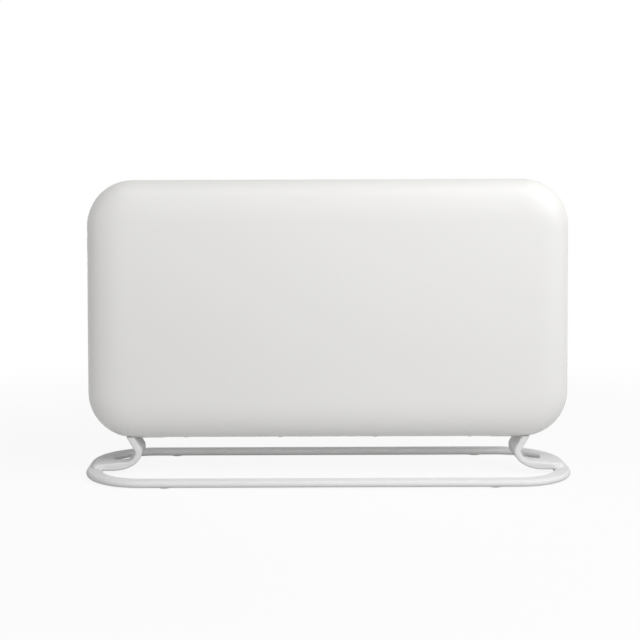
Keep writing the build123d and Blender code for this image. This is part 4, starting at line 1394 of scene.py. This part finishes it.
@dataclass(frozen=True)
class RockerMarks(Part):
    """The plain bar and ring that mark the two ends of a rocker."""

    body: str
    housing: str
    tilt: float = 8.0
    half_width: float = 8.2 * MM
    edge_rise: float = 5.6 * MM
    middle_rise: float = 4.2 * MM
    pivot_depth: float = 2.6 * MM
    mark_size: float = 3.4 * MM
    line: float = 0.55 * MM
    proud: float = 0.06 * MM
    ring_steps: int = 40

    def ring(self) -> bmesh.types.BMesh:
        """Flat ring, lying in the XY plane.

        Returns:
            The ring.
        """
        form = bmesh.new()
        bmesh.ops.create_circle(
            form, cap_ends=True, segments=self.ring_steps, radius=self.mark_size / 2
        )
        disc = form.faces[:]
        bmesh.ops.inset_region(
            form, faces=disc, thickness=self.line, use_boundary=True, use_even_offset=True
        )
        bmesh.ops.delete(form, geom=disc, context="FACES")
        return form

    def build(self, wardrobe: Wardrobe) -> None:
        """Make the marks of one rocker.

        Args:
            wardrobe: Finishes by slot.
        """
        pivot = side_middle(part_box(self.housing), RIGHT) - RIGHT * self.pivot_depth
        lean = Matrix.Rotation(math.radians(self.tilt), 4, "Z")
        slope = math.atan2(self.edge_rise - self.middle_rise, self.half_width)
        rise = (self.edge_rise + self.middle_rise) / 2
        form = bmesh.new()
        for side, mark in ((-1, plate(self.line, self.mark_size)), (1, self.ring())):
            pull(mark, (0, 0, self.proud))
            turn = Matrix.Rotation(-side * slope, 4, "Z")
            spot = Matrix.Translation((rise, side * self.half_width / 2, 0))
            stamp = as_mesh(mark)
            add_mesh(form, stamp, Matrix.Translation(pivot) @ lean @ spot @ turn @ TO_SIDE)
            bpy.data.meshes.remove(stamp)
        wardrobe.settle(make_piece(form, f"{self.body}_marks"), "knob_white", self.body)


# ---------------------------------------------------------------- studio
@dataclass(frozen=True)
class Lamp:
    """Soft rectangular white lamp aimed at the heater."""

    name: str
    place: Triple
    width: float
    height: float
    watts: float

    def build(self, target: Vector) -> None:
        """Hang the lamp.

        Args:
            target: Point that it faces.
        """
        light = bpy.data.lights.new(self.name, "AREA")
        light.shape = "RECTANGLE"
        light.size = self.width
        light.size_y = self.height
        light.energy = self.watts
        lamp = bpy.data.objects.new(self.name, light)
        lamp.location = self.place
        lamp.rotation_euler = (target - Vector(self.place)).to_track_quat("-Z", "Y").to_euler()
        bpy.context.scene.collection.objects.link(lamp)


@dataclass(frozen=True)
class Studio:
    """Camera, white floor, lamps and world."""

    camera_place: Triple = (-0.048, -1.54, 0.380)
    pitch_down: float = 2.25
    roll: float = 0.2
    focal_pixels: float = 1214.0
    frame_pixels: float = 640.0
    level_pixel_y: float = 172.8
    axis_pixel_x: float = 289.0
    sensor: float = 36.0
    floor_half: float = 6.0
    floor_white: float = 0.92
    floor_bounce: float = 0.5
    floor_roughness: float = 0.9
    floor_shadow_share: float = 0.11
    shadow_reach: tuple[float, float] = (0.45, 1.1)
    world_level: float = 0.24
    world_colour: Colour = (1.0, 0.985, 0.965)
    lamp_target: Triple = (0.0, 0.0, 0.2)
    lamps: tuple[Lamp, ...] = (
        Lamp("key_lamp", (1.25, -1.05, 1.0), 1.1, 1.1, 8.4),
        Lamp("front_lamp", (0.0, -2.2, 0.6), 2.0, 1.2, 10.6),
        Lamp("front_top_lamp", (0.0, -0.85, 1.35), 1.6, 0.6, 3.7),
        Lamp("right_top_lamp", (0.9, -0.4, 1.2), 0.9, 0.9, 5.0),
        Lamp("left_lamp", (-1.5, -1.0, 0.4), 0.8, 0.7, 1.6),
        Lamp("back_lamp", (-0.3, 2.0, 0.28), 1.8, 0.5, 11.5),
    )

    def build(self) -> None:
        """Set the whole studio up."""
        self.build_camera()
        self.build_floor()
        self.build_world()
        for lamp in self.lamps:
            lamp.build(Vector(self.lamp_target))
        bpy.context.scene.view_settings.view_transform = "Standard"

    def build_camera(self) -> None:
        """Place the camera as the photograph's was."""
        data = bpy.data.cameras.new("camera")
        data.sensor_width = self.sensor
        data.lens = self.focal_pixels / self.frame_pixels * self.sensor
        centre = self.frame_pixels / 2
        drop = self.focal_pixels * math.tan(math.radians(self.pitch_down))
        data.shift_x = (centre - self.axis_pixel_x) / self.frame_pixels
        data.shift_y = (self.level_pixel_y + drop - centre) / self.frame_pixels
        camera = bpy.data.objects.new("camera", data)
        camera.location = self.camera_place
        level = Matrix.Rotation(math.radians(90 - self.pitch_down), 4, "X")
        turn = Matrix.Rotation(math.radians(self.roll), 4, "Y")
        camera.rotation_euler = (turn @ level).to_euler()
        bpy.context.scene.collection.objects.link(camera)
        bpy.context.scene.camera = camera

    def build_floor(self) -> None:
        """Lay a white floor that keeps a faint shadow."""
        floor = make_piece(plate(2 * self.floor_half, 2 * self.floor_half), "floor")
        shader = Shader("floor_white")
        seen = shader.seen_white()
        dull, pale = shade(FULL_WHITE, self.floor_bounce), shade(FULL_WHITE, self.floor_white)
        shader.finish(Base_Color=shader.blend(seen, dull, pale), Roughness=self.floor_roughness)
        values = {"Color": (*FULL_WHITE, 1.0), "Strength": 1.0}
        glow = shader.add("ShaderNodeEmission", None, values)
        distance = shader.add(
            "ShaderNodeVectorMath", {"operation": "LENGTH"}, {0: shader.coordinates}, "Value"
        )
        near, far = self.shadow_reach
        fade = shader.add(
            "ShaderNodeMapRange",
            {"interpolation_type": "SMOOTHSTEP"},
            {"Value": distance, "From Min": near, "From Max": far, "To Min": 1.0, "To Max": 0.0},
        )
        share = seen * (1.0 - self.floor_shadow_share * fade)
        mixed = shader.add("ShaderNodeMixShader", None, {0: share, 1: shader.surface, 2: glow})
        shader.show(mixed)
        floor.data.materials.append(shader.material)

    def build_world(self) -> None:
        """Give even light, and white where the background is seen."""
        world = bpy.data.worlds.new("studio")
        nodes = Nodes(world, "ShaderNodeOutputWorld")
        seen = nodes.seen_white()
        values = {"Value": seen, "To Min": self.world_level, "To Max": 1.0}
        level = nodes.add("ShaderNodeMapRange", None, values)
        tint = nodes.blend(seen, self.world_colour, FULL_WHITE)
        nodes.show(nodes.add("ShaderNodeBackground", None, {"Color": tint, "Strength": level}))
        bpy.context.scene.world = world


# ---------------------------------------------------------------- the whole scene
def heater_parts() -> list[Part]:
    """List the parts in the order of their making.

    Returns:
        Parts that stand for CAD nodes, and the printed marks.
    """
    parts: list[Part] = [FrontPanel()]
    for node in ("rear_casing", "control_side", "leg_left", "leg_right", "floor_loop"):
        parts.append(SmoothPiece(node))
    for node in ("control_tray", "heat_switch_housing", "power_switch_housing"):
        parts.append(SmoothPiece(node, edge=0.3 * MM))
    for node in ("outlet_grille", "inlet_grille"):
        parts.append(SmoothPiece(node, edge=0.2 * MM))
    for switch in ("heat", "power"):
        body = f"{switch}_rocker"
        parts.append(SmoothPiece(f"{switch}_switch_rocker", body, edge=0.35 * MM))
        parts.append(RockerMarks(body, f"{switch}_switch_housing"))
    return parts + [
        ScrewSet("rear_screws", BACK, 3.8 * MM, 1.8 * MM, 1.7 * MM),
        ScrewSet("panel_screws", DOWN, 3.6 * MM, 1.0 * MM, 1.7 * MM),
        ScrewSet("loop_screws", DOWN, 4.0 * MM, 2.6 * MM, 2.4 * MM),
        ScrewSet("leg_screws", DOWN, 4.6 * MM, 2.2 * MM, 2.4 * MM, countersunk=True),
        FloorPads(),
        WallInserts(),
        CordGland(),
        IndicatorLens(),
        DialScale(),
        ThermostatKnob(),
    ]


def main() -> None:
    """Build the heater and its studio."""
    logging.basicConfig(level=logging.INFO, format="%(name)s: %(message)s")
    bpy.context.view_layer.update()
    wardrobe = Wardrobe(frame["record"])
    Studio().build()
    for node, piece in frame["nodes"].items():
        wardrobe.dress(piece, wardrobe.slot_of[node])
    for part in heater_parts():
        part.build(wardrobe)


if __name__ == "__main__":
    main()
